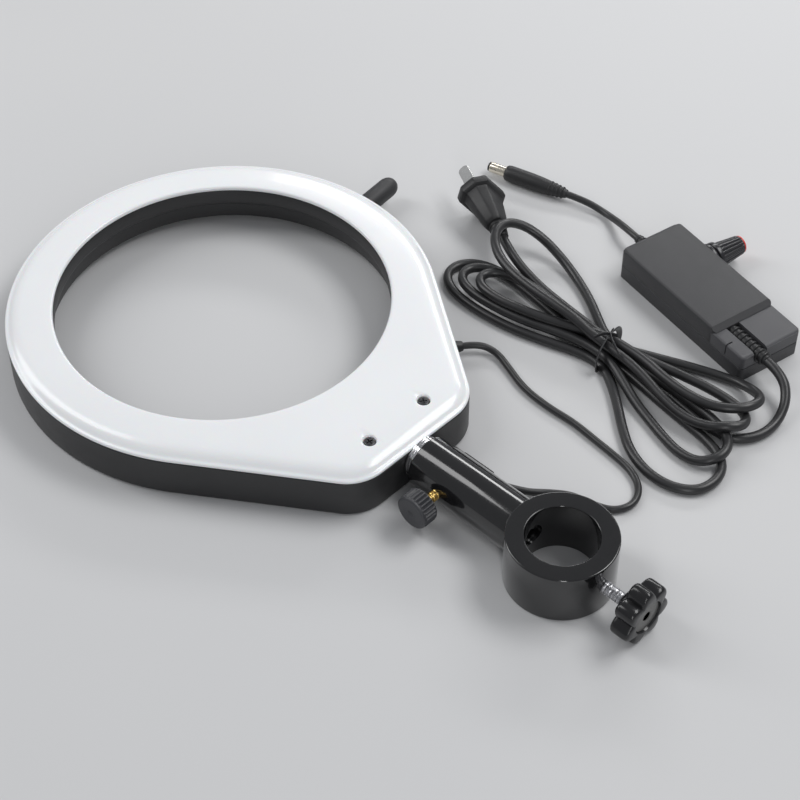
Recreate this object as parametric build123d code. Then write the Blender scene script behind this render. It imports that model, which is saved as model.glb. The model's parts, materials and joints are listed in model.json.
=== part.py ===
"""Ring light with a post clamp for a bench microscope stand, with its dimmable mains adapter.

Frame: millimetres. The origin is where the post's axis crosses the arm's axis, in the middle of
the clamp collar's bore. +Z runs up the post, +X runs along the arm towards the lamp head.
The part lies on its underside, the plane z = floor_z.
"""
from build123d import *
from math import acos, atan2, cos, degrees, pi, radians, sin, tan
import os

# ---------------------------------------------------------------- driving dimensions, mm
collar_od = 50.0
collar_height = 27.0
post_bore = 33.0                # takes a 32 mm post
floor_z = -collar_height / 2

arm_od = 25.0
arm_end_x = 79.9                # end face at the lamp head
arm_bore_start_x = 40.0         # bottom of the blind bore that holds the spigot
arm_bolt_d = 6.0
arm_bolt_grip = 16.0            # length of shank past the head

spigot_d = 16.0
spigot_inner_x = 42.0
tenon_d = 10.0
running = 0.08                  # radial clearance of a turning or sliding fit
clear = 0.3                     # gap between separate bodies that don't fit each other

head_x = 215.0                  # centre of the light ring
ring_radius = 104.0
opening_radius = 81.0
nose_x = 84.0                   # flat end of the nose
nose_corner = 22.0
nose_half = 46.4                # half the nose's width at its corners
head_height = 27.0
diffuser_height = 6.0
wall = 2.5
lip_height = 8.0                # straight inner wall, below the diffuser
underside_radius = 92.6         # where the coved underside meets the base

grip_angle = -84.0              # round the ring, from +X
grip_d = 10.5
grip_length = 29.0
grip_z = -3.0

thumb_x = 63.0
thumb_d = 5.0
thumb_pitch = 0.8
thumb_knob_d = 17.0
thumb_knob_thick = 9.0
thumb_reach = 6.5               # thread left showing between tube and knob

clamp_d = 6.0
clamp_showing = 11.0
clamp_travel = 8.0
star_radius = 14.5
star_lobes = 7
star_thick = 12.5

adapter_x, adapter_y, adapter_turn = 56.4, -176.6, -12.0
adapter_length, adapter_width, adapter_height = 92.0, 37.0, 18.0
adapter_wall = 1.8
adapter_split = 8.0             # height of the lower shell
end_length, end_drop = 24.0, 2.5
dimmer_u = 22.0                 # dimmer's place along the adapter
dimmer_z = 9.5                  # and its height above the floor

lead_d = 3.4
dc_cord_d = 3.6
mains_d = 4.8
hank_height = 14.0

# ---------------------------------------------------------------- cord routes
# The points of each cord that isn't coiled, as the cord's control polygon.
lead_z = floor_z + lead_d / 2 + 0.1
lead_route = [(123.73, -71.94, -8.5), (119.19, -78.52, -8.5), (110.5, -82.0, -10.9), (99.5, -78.5, lead_z),
              (86.0, -73.5, lead_z), (70.0, -72.0, lead_z), (54.0, -72.9, lead_z), (39.0, -71.2, lead_z),
              (26.0, -69.9, lead_z), (15.0, -68.0, lead_z), (5.5, -62.3, lead_z), (1.4, -53.0, lead_z),
              (5.4, -43.9, lead_z), (15.0, -40.0, lead_z), (25.5, -38.0, lead_z), (34.0, -31.6, lead_z),
              (41.0, -23.6, -10.4), (50.0, -18.6, -8.8)]
dc_route = [(110.24, -188.04, -4.5), (118.55, -189.81, -4.5), (128.0, -194.6, -8.4), (139.0, -198.2, -11.4),
            (151.0, -196.5, -9.1), (162.0, -193.75, -9.1)]
mains_z = floor_z + mains_d / 2 + 0.1
mains_route = [(7.92, -159.14, -1.3), (-2.84, -156.85, -1.3), (-11.5, -149.5, -6.5), (-15.0, -138.0, mains_z),
               (-14.3, -126.0, mains_z), (-8.0, -116.5, mains_z), (1.0, -111.5, mains_z)]


def write(node, shape):
    """Save one node's solids as a STEP file."""
    shape.label = node
    export_step(shape, f"parts/{node}.step")


def cylinder(radius, start, end):
    """A solid round bar between two points."""
    start, end = Vector(*start), Vector(*end)
    plane = Plane(origin=start, z_dir=end - start)
    return extrude(plane * Circle(radius), (end - start).length)


def cone(radius_a, radius_b, start, end):
    """A solid taper between two points."""
    start, end = Vector(*start), Vector(*end)
    length = (end - start).length
    plane = Plane(origin=start, z_dir=end - start)
    profile = Polyline((0, 0), (radius_a, 0), (radius_b, length), (0, length), close=True)
    solid = revolve(Plane.XZ * make_face(profile), Axis.Z)
    return plane.location * solid


def block(low, high):
    """A box between its lowest and highest corners."""
    size = [b - a for a, b in zip(low, high)]
    middle = [(a + b) / 2 for a, b in zip(low, high)]
    return Pos(*middle) * Box(*size)


def lathe(points, axis_origin=(0, 0, 0)):
    """Turn a closed (radius, height) outline about a vertical axis."""
    outline = make_face(Polyline(*points, close=True))
    return Pos(*axis_origin) * revolve(Plane.XZ * outline, Axis.Z)


def group(solids):
    """Separate solids that share a node."""
    return Compound(children=list(solids))


def cord_tube(name, points, diameter):
    """Sweep a round cord along straight runs joined by the largest tangent arcs they allow."""
    vectors = [Vector(*point) for point in points]
    runs = [b - a for a, b in zip(vectors, vectors[1:])]
    radii = []
    for before, after in zip(runs, runs[1:]):
        turn = radians(before.get_angle(after))
        radii.append(0.45 * min(before.length, after.length) / tan(turn / 2))
    path = FilletPolyline(*points, radius=radii)
    start = Plane(origin=vectors[0], z_dir=runs[0])
    tube = sweep(start * Circle(diameter / 2), path=path)
    expected = pi * diameter ** 2 / 4 * path.length
    print(f"{name}: length {path.length:.1f}, tightest radius {min(radii):.1f}, radii",
          [round(radius, 1) for radius in radii], f"volume ratio {tube.volume / expected:.4f}")
    return tube


os.makedirs("parts", exist_ok=True)

# ---------------------------------------------------------------- clamp collar and arm
collar_r = collar_od / 2
bore_r = post_bore / 2
arm_r = arm_od / 2
collar = cylinder(collar_r, (0, 0, floor_z), (0, 0, -floor_z))
collar = chamfer(collar.edges().filter_by(GeomType.CIRCLE), 0.6)
collar -= cylinder(bore_r, (0, 0, floor_z - 1), (0, 0, 1 - floor_z))
bolt_hole_r = arm_bolt_d / 2 + 0.1
bolt_head_r, bolt_head_h = 5.0, 4.0
bolt_seat_x = bore_r + 5.2
bolt_recess_r = bolt_head_r + 0.4
clamp_hole_r = clamp_d / 2 + running
collar -= cylinder(bolt_hole_r, (0, 0, 0), (collar_r + 1, 0, 0))
collar -= cylinder(bolt_recess_r, (0, 0, 0), (bolt_seat_x, 0, 0))
collar -= cylinder(clamp_hole_r, (0, 0, 0), (-collar_r - 1, 0, 0))
write("post_collar", collar)

bolt = cylinder(bolt_head_r, (bolt_seat_x - bolt_head_h, 0, 0), (bolt_seat_x, 0, 0))
bolt += cylinder(arm_bolt_d / 2, (bolt_seat_x, 0, 0), (bolt_seat_x + arm_bolt_grip, 0, 0))
hex_key = Plane(origin=(bolt_seat_x - bolt_head_h, 0, 0), z_dir=(1, 0, 0)) * RegularPolygon(2.5, 6, major_radius=False)
bolt -= extrude(hex_key, 2.2)
write("arm_bolt", bolt)

spigot_bore_r = spigot_d / 2 + running
thumb_hole_r = thumb_d / 2 + running
arm = cylinder(arm_r, (0, 0, 0), (arm_end_x, 0, 0))
arm = chamfer(arm.edges().group_by(Axis.X)[-1], 0.5)
arm -= cylinder(collar_r, (0, 0, floor_z - 1), (0, 0, 1 - floor_z))
arm -= cylinder(spigot_bore_r, (arm_bore_start_x, 0, 0), (arm_end_x + 1, 0, 0))
arm -= cylinder(bolt_hole_r, (0, 0, 0), (bolt_seat_x + arm_bolt_grip + 1, 0, 0))
arm -= cylinder(thumb_hole_r, (thumb_x, 0, 0), (thumb_x, arm_r + 1, 0))
write("arm_tube", arm)

# ---------------------------------------------------------------- clamp screw with its star knob
pad_r = clamp_d / 2 - 0.1
pad_tip_x = -bore_r - 0.4
pad_base_x = pad_tip_x - 2.0
clamp_knob_x = -collar_r - clamp_showing
write("clamp_pad", cylinder(pad_r, (pad_base_x, 0, 0), (pad_tip_x, 0, 0)))

star_back_x = clamp_knob_x - star_thick
knob_core_r = 10.4
lobe_r = 3.6
stud_end_x = star_back_x + 3.0
write("clamp_stud", cylinder(clamp_d / 2, (stud_end_x, 0, 0), (pad_base_x - 0.05, 0, 0)))

star = cylinder(knob_core_r + 0.6, (star_back_x, 0, 0), (clamp_knob_x - 2.5, 0, 0))
lobe_step = 360 / star_lobes
for lobe in range(star_lobes):
    around = radians(-90 + lobe_step * (lobe + 0.5))
    lobe_y = (star_radius - lobe_r) * cos(around)
    lobe_z = (star_radius - lobe_r) * sin(around)
    star += cylinder(lobe_r, (star_back_x, lobe_y, lobe_z), (clamp_knob_x - 2.5, lobe_y, lobe_z))
blank = cylinder(star_radius + 0.1, (star_back_x, 0, 0), (clamp_knob_x - 2.5, 0, 0))
star &= chamfer(blank.edges().filter_by(GeomType.CIRCLE), 1.0)
star += cylinder(6.5, (clamp_knob_x - 2.5, 0, 0), (clamp_knob_x, 0, 0))
star_recess_r, star_recess_depth = 8.0, 1.2
star -= cylinder(star_recess_r, (star_back_x - 1, 0, 0), (star_back_x + star_recess_depth, 0, 0))
star -= cylinder(clamp_d / 2, (stud_end_x, 0, 0), (clamp_knob_x + 1, 0, 0))
write("star_knob", star)

# ---------------------------------------------------------------- thumbscrew that locks the spigot
shoe_base_y = spigot_d / 2 + 2.0
thumb_knob_y = arm_r + thumb_reach
thumb_outer_y = thumb_knob_y + thumb_knob_thick
write("thumb_shoe", cylinder(thumb_d / 2 - 0.1, (thumb_x, spigot_d / 2 + 0.15, 0), (thumb_x, shoe_base_y, 0)))
thumb_stud_end_y = thumb_knob_y + 6.5
write("thumb_stud", cylinder(thumb_d / 2, (thumb_x, shoe_base_y + 0.05, 0), (thumb_x, thumb_stud_end_y, 0)))
thumb_knob = cylinder(thumb_knob_d / 2, (thumb_x, thumb_knob_y, 0), (thumb_x, thumb_outer_y, 0))
thumb_knob = chamfer(thumb_knob.edges().filter_by(GeomType.CIRCLE), 0.8)
thumb_knob -= cylinder(thumb_d / 2, (thumb_x, thumb_knob_y - 1, 0), (thumb_x, thumb_stud_end_y, 0))
write("thumb_knob", thumb_knob)

# ---------------------------------------------------------------- lamp head: outline
head_centre = Vector(head_x, 0, 0)
corner_x = nose_x + nose_corner
corner_y = nose_half - nose_corner
centre_gap = Vector(head_x - corner_x, -corner_y, 0)
flank_lean = atan2(-corner_y, head_x - corner_x) + acos((nose_corner - ring_radius) / centre_gap.length)
flank_normal = Vector(cos(flank_lean), sin(flank_lean), 0)
flank_along = Vector(flank_normal.Y, -flank_normal.X, 0)


def mirrored(point):
    return Vector(point.X, -point.Y, point.Z)


def head_face(inset, z):
    """The lamp head's teardrop outline, moved in by inset, at height z."""
    ring = ring_radius - inset
    corner = nose_corner - inset
    corner_centre = Vector(corner_x, corner_y, 0)
    flank_far = head_centre + flank_normal * ring
    flank_near = corner_centre + flank_normal * corner
    nose_top = Vector(nose_x + inset, corner_y, 0)
    lean = (degrees(flank_lean) + 180) / 2
    corner_mid = corner_centre + Vector(cos(radians(lean)), sin(radians(lean)), 0) * corner
    edges = [ThreePointArc(mirrored(flank_far), (head_x + ring, 0), flank_far),
             Line(flank_far, flank_near),
             ThreePointArc(flank_near, corner_mid, nose_top),
             Line(nose_top, mirrored(nose_top)),
             ThreePointArc(mirrored(nose_top), mirrored(corner_mid), mirrored(flank_near)),
             Line(mirrored(flank_near), mirrored(flank_far))]
    return Pos(0, 0, z) * make_face(edges)


# ---------------------------------------------------------------- lamp head: housing
head_top = floor_z + head_height
housing_top = head_top - diffuser_height
diffuser_skin = 2.0
lip_top = head_top - diffuser_skin
lip_bottom = lip_top - lip_height
base_top = floor_z + wall
cone_wall = 2.0

screw_x, screw_y = 98.5, 17.5           # the two diffuser screws in the nose
post_r = 4.0
post_top = housing_top - 2.5
screw_d = 3.0
screw_hole_r = screw_d / 2 + 0.05
tenon_hole_r = tenon_d / 2 + 0.05

gland_run = 41.6                        # along the flank, from its nose end
flank_start = mirrored(Vector(corner_x, corner_y, 0) + flank_normal * nose_corner)
lead_out = mirrored(flank_normal)
gland_z = -8.5
gland_at = flank_start + mirrored(flank_along) * gland_run + Vector(0, 0, gland_z)
gland_r = 3.2

grip_dir = Vector(cos(radians(grip_angle)), sin(radians(grip_angle)), 0)
grip_at = head_centre + grip_dir * ring_radius + Vector(0, 0, grip_z)
grip_screw_d = 4.0

board_r_in, board_r_out = 91.0, 98.5
board_z = floor_z + 7.5
board_thick = 1.6
standoff_r = 2.5
standoff_ring = 94.8
standoff_angles = [60.0 * i for i in range(6)]


def on_ring(radius, angle, z):
    return (head_x + radius * cos(radians(angle)), radius * sin(radians(angle)), z)


housing = extrude(head_face(0, floor_z), housing_top - floor_z)
housing -= extrude(head_face(wall, base_top), head_height)
opening = lathe([(0, floor_z - 1), (underside_radius + 0.6, floor_z - 1), (opening_radius, lip_bottom),
                 (opening_radius, head_top + 1), (0, head_top + 1)], (head_x, 0, 0))
barrier = lathe([(underside_radius, floor_z), (opening_radius, lip_bottom), (opening_radius, lip_top),
                 (opening_radius + cone_wall, lip_top), (opening_radius + cone_wall, lip_bottom),
                 (underside_radius + cone_wall, base_top), (underside_radius + cone_wall, floor_z)],
                (head_x, 0, 0))
housing = housing - opening + barrier
for angle in standoff_angles:
    housing += cylinder(standoff_r, on_ring(standoff_ring, angle, base_top), on_ring(standoff_ring, angle, board_z))
for side in (-1, 1):
    housing += cylinder(post_r, (screw_x, side * screw_y, base_top), (screw_x, side * screw_y, post_top))
    housing -= cylinder(screw_hole_r, (screw_x, side * screw_y, base_top), (screw_x, side * screw_y, post_top + 1))
board_screw_r = 1.25
for angle in standoff_angles:
    housing -= cylinder(board_screw_r + 0.05, on_ring(standoff_ring, angle, base_top - 1),
                        on_ring(standoff_ring, angle, board_z + 1))
housing -= cylinder(tenon_hole_r, (nose_x - 1, 0, 0), (nose_x + wall + 1, 0, 0))
housing -= cylinder(gland_r + 0.05, gland_at - lead_out * (wall + 1), gland_at + lead_out)
housing -= cylinder(grip_screw_d / 2 + 0.05, grip_at - grip_dir * (wall + 1), grip_at + grip_dir)
write("head_housing", housing)

# ---------------------------------------------------------------- lamp head: diffuser and light
diffuser = extrude(head_face(0, housing_top), diffuser_height)
diffuser = fillet(diffuser.edges().group_by(Axis.Z)[-1], 4.5)
diffuser -= extrude(head_face(diffuser_skin + 2.0, housing_top - 1), diffuser_height - diffuser_skin + 1)
bosses = [cylinder(post_r, (screw_x, side * screw_y, post_top), (screw_x, side * screw_y, lip_top + 0.5))
          for side in (-1, 1)]
diffuser += bosses
diffuser -= cylinder(opening_radius, (head_x, 0, floor_z), (head_x, 0, head_top + 1))
diffuser = fillet(diffuser.edges().filter_by(GeomType.CIRCLE).group_by(Axis.Z)[-1], 1.2)
screw_seat_z = head_top - 3.0
screw_head_r = 2.8
for side in (-1, 1):
    diffuser -= cylinder(screw_head_r + 0.7, (screw_x, side * screw_y, screw_seat_z), (screw_x, side * screw_y, head_top + 1))
    diffuser -= cylinder(screw_hole_r, (screw_x, side * screw_y, post_top - 1), (screw_x, side * screw_y, head_top))
write("diffuser", diffuser)

screws = []
for side in (-1, 1):
    screw = cylinder(screw_d / 2, (screw_x, side * screw_y, base_top + 3), (screw_x, side * screw_y, screw_seat_z))
    screw += cylinder(screw_head_r, (screw_x, side * screw_y, screw_seat_z), (screw_x, side * screw_y, screw_seat_z + 1.6))
    screws.append(screw)
write("diffuser_screws", group(screws))

board = lathe([(board_r_in, board_z), (board_r_out, board_z), (board_r_out, board_z + board_thick),
               (board_r_in, board_z + board_thick)], (head_x, 0, 0))
for angle in standoff_angles:
    board -= cylinder(board_screw_r + 0.1, on_ring(standoff_ring, angle, board_z - 1),
                      on_ring(standoff_ring, angle, board_z + board_thick + 1))
write("led_board", board)

board_top = board_z + board_thick
board_screws = []
for angle in standoff_angles:
    shank = cylinder(board_screw_r, on_ring(standoff_ring, angle, base_top), on_ring(standoff_ring, angle, board_top))
    shank += cylinder(2.4, on_ring(standoff_ring, angle, board_top), on_ring(standoff_ring, angle, board_top + 1.5))
    board_screws.append(shank)
write("board_screws", group(board_screws))

led_count = 36
led_size = (3.5, 2.8, 1.0)
leds = []
for led in range(led_count):
    angle = (led + 0.5) * 360 / led_count
    place = Pos(*on_ring(standoff_ring, angle, board_top + led_size[2] / 2))
    leds.append(place * Rot(0, 0, angle) * Box(*led_size))
write("leds", group(leds))

terminal_x, terminal_y = 118.0, -42.0
terminal_low = (terminal_x - 5, terminal_y - 4, base_top)
terminal_high = (terminal_x + 5, terminal_y + 4, base_top + 8)
write("terminal_block", block(terminal_low, terminal_high))

# ---------------------------------------------------------------- lamp head: spigot, side grip and lead
plate_back_x = nose_x + wall
plate_thick = 5.0
nut_thick = 6.0
tenon_end_x = plate_back_x + plate_thick + nut_thick + 1.5
spigot = cylinder(spigot_d / 2, (spigot_inner_x, 0, 0), (nose_x, 0, 0))
spigot = chamfer(spigot.edges().group_by(Axis.X)[0], 0.8)
spigot += cylinder(tenon_d / 2, (nose_x, 0, 0), (tenon_end_x, 0, 0))
write("arm_spigot", spigot)

ring_inner_r = spigot_d / 2 + running
ring_outer_r = 10.3
lock_ring = cylinder(ring_outer_r, (arm_end_x + 0.15, 0, 0), (nose_x - 0.15, 0, 0))
lock_ring = chamfer(lock_ring.edges().filter_by(GeomType.CIRCLE), 0.5)
lock_ring -= cylinder(ring_inner_r, (arm_end_x, 0, 0), (nose_x, 0, 0))
write("lock_ring", lock_ring)

plate = block((plate_back_x, -13, base_top), (plate_back_x + plate_thick, 13, 7.0))
plate -= cylinder(tenon_hole_r, (plate_back_x - 1, 0, 0), (plate_back_x + plate_thick + 1, 0, 0))
write("backing_plate", plate)

nut_face = Plane(origin=(plate_back_x + plate_thick, 0, 0), z_dir=(1, 0, 0)) * RegularPolygon(8, 6, major_radius=False)
nut = extrude(nut_face, nut_thick)
nut -= cylinder(tenon_d / 2 + 0.02, (plate_back_x, 0, 0), (tenon_end_x + 1, 0, 0))
write("spigot_nut", nut)

grip_r = grip_d / 2
grip_socket = 14.0
grip = cylinder(grip_r, grip_at - grip_dir, grip_at + grip_dir * grip_length)
grip = fillet(grip.edges().filter_by(GeomType.CIRCLE).sort_by_distance(head_centre)[-1], grip_r * 0.9)
grip -= cylinder(ring_radius, (head_x, 0, floor_z), (head_x, 0, head_top))
grip -= cylinder(grip_screw_d / 2 + 0.02, grip_at - grip_dir, grip_at + grip_dir * grip_socket)
write("side_grip", grip)

grip_inside = grip_at - grip_dir * wall
grip_screw = cylinder(grip_screw_d / 2, grip_inside, grip_at + grip_dir * (grip_socket - 1))
grip_screw += cylinder(3.5, grip_inside - grip_dir * 2.4, grip_inside - grip_dir * 0.15)
grip_screw += cylinder(grip_screw_d / 2, grip_inside - grip_dir * 0.5, grip_inside)
write("grip_screw", grip_screw)

gland_mouth = 7.0
gland_flange = 1.6
gland = cylinder(gland_r, gland_at - lead_out * wall, gland_at)
gland += cylinder(gland_r + 1.4, gland_at, gland_at + lead_out * gland_flange)
gland += cone(gland_r, lead_d / 2 + 0.5, gland_at + lead_out * gland_flange, gland_at + lead_out * gland_mouth)
write("lead_gland", gland)

inner_wires = []
for offset in (-1.1, 1.1):
    start = gland_at - lead_out * (wall + 0.05) + Vector(0, 0, offset)
    turn_a = start - lead_out * 9
    turn_b = Vector(terminal_high[0] + 6, terminal_y + offset, turn_a.Z)
    end = Vector(terminal_high[0] + 0.05, terminal_y + offset, turn_a.Z)
    wire_path = FilletPolyline(start, turn_a, turn_b, end, radius=2.5)
    inner_wires.append(sweep(Plane(origin=start, z_dir=turn_a - start) * Circle(0.8), path=wire_path))
write("inner_wires", group(inner_wires))

print("lead leaves its gland at", gland_at + lead_out * gland_mouth, "towards", lead_out)
write("lamp_lead", cord_tube("lamp lead", lead_route, lead_d))

socket_r = 4.6
socket_length = 24.0
socket_relief = 6.0
socket_dir = (Vector(*lead_route[-1]) - Vector(*lead_route[-2])).normalized()
socket_start = Vector(*lead_route[-1]) + socket_dir * 0.05
relief_end = socket_start + socket_dir * socket_relief
shell_start = relief_end
shell_end = Vector(shell_start.X + socket_length, shell_start.Y, shell_start.Z)
socket = cylinder(socket_r, shell_start, shell_end)
socket = chamfer(socket.edges().filter_by(GeomType.CIRCLE), 0.6)
socket -= cylinder(2.95, shell_end - Vector(10, 0, 0), shell_end + Vector(1, 0, 0))
write("lead_socket", socket)
relief = cone(lead_d / 2 + 0.3, 3.2, socket_start, socket_start + socket_dir * socket_relief)
relief -= block((shell_start.X, -40, floor_z), (shell_start.X + 20, 0, 0))
write("socket_relief", relief)
write("socket_pin", cylinder(1.05, shell_end - Vector(10, 0, 0), shell_end - Vector(1, 0, 0)))

# ---------------------------------------------------------------- adapter
adapter = Pos(adapter_x, adapter_y, floor_z) * Rot(0, 0, adapter_turn)
half_l, half_w = adapter_length / 2, adapter_width / 2
step_u = end_length - half_l            # where the lower end part begins
relief_v = 7.0                          # mains relief, off the middle line
ac_relief_r = 3.3
ac_relief_z = adapter_height - end_drop - ac_relief_r
ac_relief_out = 5.0
slot_r = ac_relief_r + 0.25
dc_relief_r = 3.4
dc_relief_z = 9.0
dc_relief_length = 9.0
shaft_r = 3.0


def rounded_block(low_u, high_u, width, low_z, high_z, corner):
    plan = Pos((low_u + high_u) / 2, 0) * RectangleRounded(high_u - low_u, width, corner)
    return Pos(0, 0, low_z) * extrude(plan, high_z - low_z)


outer = rounded_block(-half_l, half_l, adapter_width, 0, adapter_height, 2.5)
outer -= block((-half_l - 1, -half_w - 1, adapter_height - end_drop), (step_u - 1.6, half_w + 1, adapter_height + 1))
outer = fillet(outer.edges().group_by(Axis.Z)[-1], 1.2)
inner = rounded_block(-half_l + adapter_wall, half_l - adapter_wall, adapter_width - 2 * adapter_wall,
                      adapter_wall, adapter_height - adapter_wall, 1.5)
inner -= block((-half_l, -half_w, adapter_height - end_drop - adapter_wall), (step_u, half_w, adapter_height))
shell = outer - inner
dc_hole = cylinder(dc_relief_r + 0.05, (half_l - 4, 0, dc_relief_z), (half_l + 1, 0, dc_relief_z))
pot_hole = cylinder(shaft_r + 1.5, (dimmer_u, -half_w - 1, dimmer_z), (dimmer_u, -half_w + 4, dimmer_z))
slot = cylinder(slot_r, (-half_l - 1, relief_v, ac_relief_z), (step_u - 1, relief_v, ac_relief_z))
slot += block((-half_l - 1, relief_v - slot_r, ac_relief_z), (step_u - 1, relief_v + slot_r, adapter_height - end_drop + 0.5))
shell = shell - dc_hole - pot_hole - slot
write("adapter_base", adapter * (shell & block((-half_l - 1, -half_w - 1, -1), (half_l + 1, half_w + 1, adapter_split))))
write("adapter_cover", adapter * (shell & block((-half_l - 1, -half_w - 1, adapter_split),
                                                (half_l + 1, half_w + 1, adapter_height + 1))))

pcb_low = adapter_wall + 1.2
pcb_top = pcb_low + 1.6
pcb = block((-half_l + 3, -half_w + 3, pcb_low), (half_l - 3, half_w - 3, pcb_top))
write("adapter_board", adapter * pcb)
component_top = adapter_height - adapter_wall - 0.6
low_top = adapter_height - end_drop - adapter_wall - 0.6 - 2 * ac_relief_r
core_u = -8.0
write("transformer", adapter * block((core_u - 9, -7, pcb_top), (core_u + 9, 9, component_top)))
capacitors = []
for cap_u, cap_v, cap_r in ((6.5, 8.0, 4.0), (6.5, -6.0, 4.0), (17.0, 8.0, 3.2)):
    capacitors.append(cylinder(cap_r, (cap_u, cap_v, pcb_top), (cap_u, cap_v, component_top - 1.5)))
write("capacitors", adapter * group(capacitors))
sink = block((30.0, -11.0, pcb_top), (32.0, 11.0, component_top - 1))
write("heat_sink", adapter * sink)
fuse = cylinder(2.4, (-30.0, -9.0, pcb_top + 2.5), (-20.0, -9.0, pcb_top + 2.5))
write("fuse", adapter * fuse)

pot_face = -half_w + adapter_wall
pot = block((dimmer_u - 5.5, pot_face, dimmer_z - 4.6), (dimmer_u + 5.5, pot_face + 6.5, dimmer_z + 5.0))
pot += cylinder(shaft_r + 1.4, (dimmer_u, -half_w - 2.4, dimmer_z), (dimmer_u, pot_face, dimmer_z))
pot -= cylinder(shaft_r + running, (dimmer_u, -half_w - 3, dimmer_z), (dimmer_u, pot_face + 4, dimmer_z))
write("dimmer_pot", adapter * pot)
flange_r = 8.2
flange = cylinder(flange_r, (dimmer_u, -half_w - 2.2, dimmer_z), (dimmer_u, -half_w, dimmer_z))
flange = chamfer(flange.edges().group_by(Axis.Y)[0], 0.7)
flange -= cylinder(shaft_r + 1.42, (dimmer_u, -half_w - 3, dimmer_z), (dimmer_u, -half_w + 1, dimmer_z))
write("dimmer_flange", adapter * flange)

knob_near = -half_w - 3.0
knob_length = 19.0
skirt_h = 3.0
knob_far = knob_near - knob_length
cap_h = 1.6
write("dimmer_shaft", adapter * cylinder(shaft_r, (dimmer_u, knob_far + 6, dimmer_z), (dimmer_u, pot_face + 3.5, dimmer_z)))
knob = cylinder(7.6, (dimmer_u, knob_near, dimmer_z), (dimmer_u, knob_near - skirt_h, dimmer_z))
knob += cone(6.6, 5.0, (dimmer_u, knob_near - skirt_h, dimmer_z), (dimmer_u, knob_far + cap_h, dimmer_z))
for flute in range(18):
    around = radians(flute * 20 + 10)
    near = (dimmer_u + 6.9 * cos(around), knob_near - skirt_h, dimmer_z + 6.9 * sin(around))
    far = (dimmer_u + 5.3 * cos(around), knob_far, dimmer_z + 5.3 * sin(around))
    knob -= cylinder(0.5, near, far)
knob -= cylinder(shaft_r + 0.02, (dimmer_u, knob_near + 1, dimmer_z), (dimmer_u, knob_far + 6, dimmer_z))
write("dimmer_knob", adapter * knob)
cap = cylinder(4.6, (dimmer_u, knob_far + cap_h, dimmer_z), (dimmer_u, knob_far, dimmer_z))
write("dimmer_cap", adapter * chamfer(cap.edges().group_by(Axis.Y)[0], 0.5))

# ---------------------------------------------------------------- output cord and its barrel plug
dc_relief = cylinder(dc_relief_r, (half_l - adapter_wall, 0, dc_relief_z), (half_l, 0, dc_relief_z))
dc_relief += cone(dc_relief_r, dc_cord_d / 2 + 0.4, (half_l, 0, dc_relief_z), (half_l + dc_relief_length, 0, dc_relief_z))
for rib in range(3):
    rib_u = half_l + 1.6 + 2.4 * rib
    dc_relief += cylinder(dc_relief_r - 0.25 * rib, (rib_u, 0, dc_relief_z), (rib_u + 1.2, 0, dc_relief_z))
write("dc_relief", adapter * dc_relief)

print("output cord leaves its relief at", (adapter * Pos(half_l + dc_relief_length, 0, dc_relief_z)).position)
write("dc_cord", cord_tube("output cord", dc_route, dc_cord_d))

dc_dir = (Vector(*dc_route[-1]) - Vector(*dc_route[-2])).normalized()
plug_turn = Plane(origin=Vector(*dc_route[-1]) + dc_dir * 0.05, z_dir=dc_dir).location
plug_relief_l, plug_body_l, barrel_l = 9.0, 27.0, 9.5
plug_r = 4.4
dc_body = cone(dc_cord_d / 2 + 0.4, plug_r - 0.6, (0, 0, 0), (0, 0, plug_relief_l))
dc_body += cone(plug_r - 0.6, plug_r, (0, 0, plug_relief_l), (0, 0, plug_relief_l + 6))
dc_body += cylinder(plug_r, (0, 0, plug_relief_l + 6), (0, 0, plug_relief_l + plug_body_l))
for rib in range(3):
    rib_w = 3.0 + 2.2 * rib
    dc_body += cylinder(2.9 + 0.3 * rib, (0, 0, rib_w), (0, 0, rib_w + 1.1))
write("dc_plug_body", plug_turn * dc_body)
barrel_w = plug_relief_l + plug_body_l
barrel = cylinder(2.75, (0, 0, barrel_w), (0, 0, barrel_w + barrel_l))
barrel -= cylinder(2.1, (0, 0, barrel_w), (0, 0, barrel_w + barrel_l + 1))
write("dc_plug_barrel", plug_turn * barrel)
sleeve = cylinder(2.1, (0, 0, barrel_w), (0, 0, barrel_w + barrel_l))
sleeve += cylinder(2.5, (0, 0, barrel_w + barrel_l), (0, 0, barrel_w + barrel_l + 0.8))
sleeve -= cylinder(1.05, (0, 0, barrel_w + 1), (0, 0, barrel_w + barrel_l + 1))
write("dc_plug_sleeve", plug_turn * sleeve)
print("barrel mount", (plug_turn * Pos(0, 0, barrel_w)).position, "direction", dc_dir)

# ---------------------------------------------------------------- mains cord, hank and plug
ac_end_u = -half_l - ac_relief_out
ac_relief = cylinder(ac_relief_r - 0.5, (ac_end_u, relief_v, ac_relief_z), (step_u - 1.2, relief_v, ac_relief_z))
for rib in range(8):
    rib_u = ac_end_u + 1.5 + 3.1 * rib
    ac_relief += cylinder(ac_relief_r, (rib_u, relief_v, ac_relief_z), (rib_u + 1.9, relief_v, ac_relief_z))
write("ac_relief", adapter * ac_relief)

print("mains cord leaves its relief at", (adapter * Pos(ac_end_u, relief_v, ac_relief_z)).position)
write("mains_lead", cord_tube("mains lead", mains_route, mains_d))

tie_x, tie_y, tie_r = 72.0, -118.0, 9.0
left_lobe = [(141.0, -138.5, 16.0), (151.0, -108.5, 16.0)]
right_lobe = [(13.0, -129.0, 17.0), (1.0, -91.0, 17.5)]


def lobe_solid(circles):
    """The closed outer shape of one side of the hank, tied at its waist."""
    outline = []
    for x, y, r in [(tie_x, tie_y, tie_r)] + circles:
        outline += Circle(r).moved(Location((x, y, 0))).edges()
    return Pos(0, 0, floor_z) * extrude(make_hull(outline), hank_height)


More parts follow.
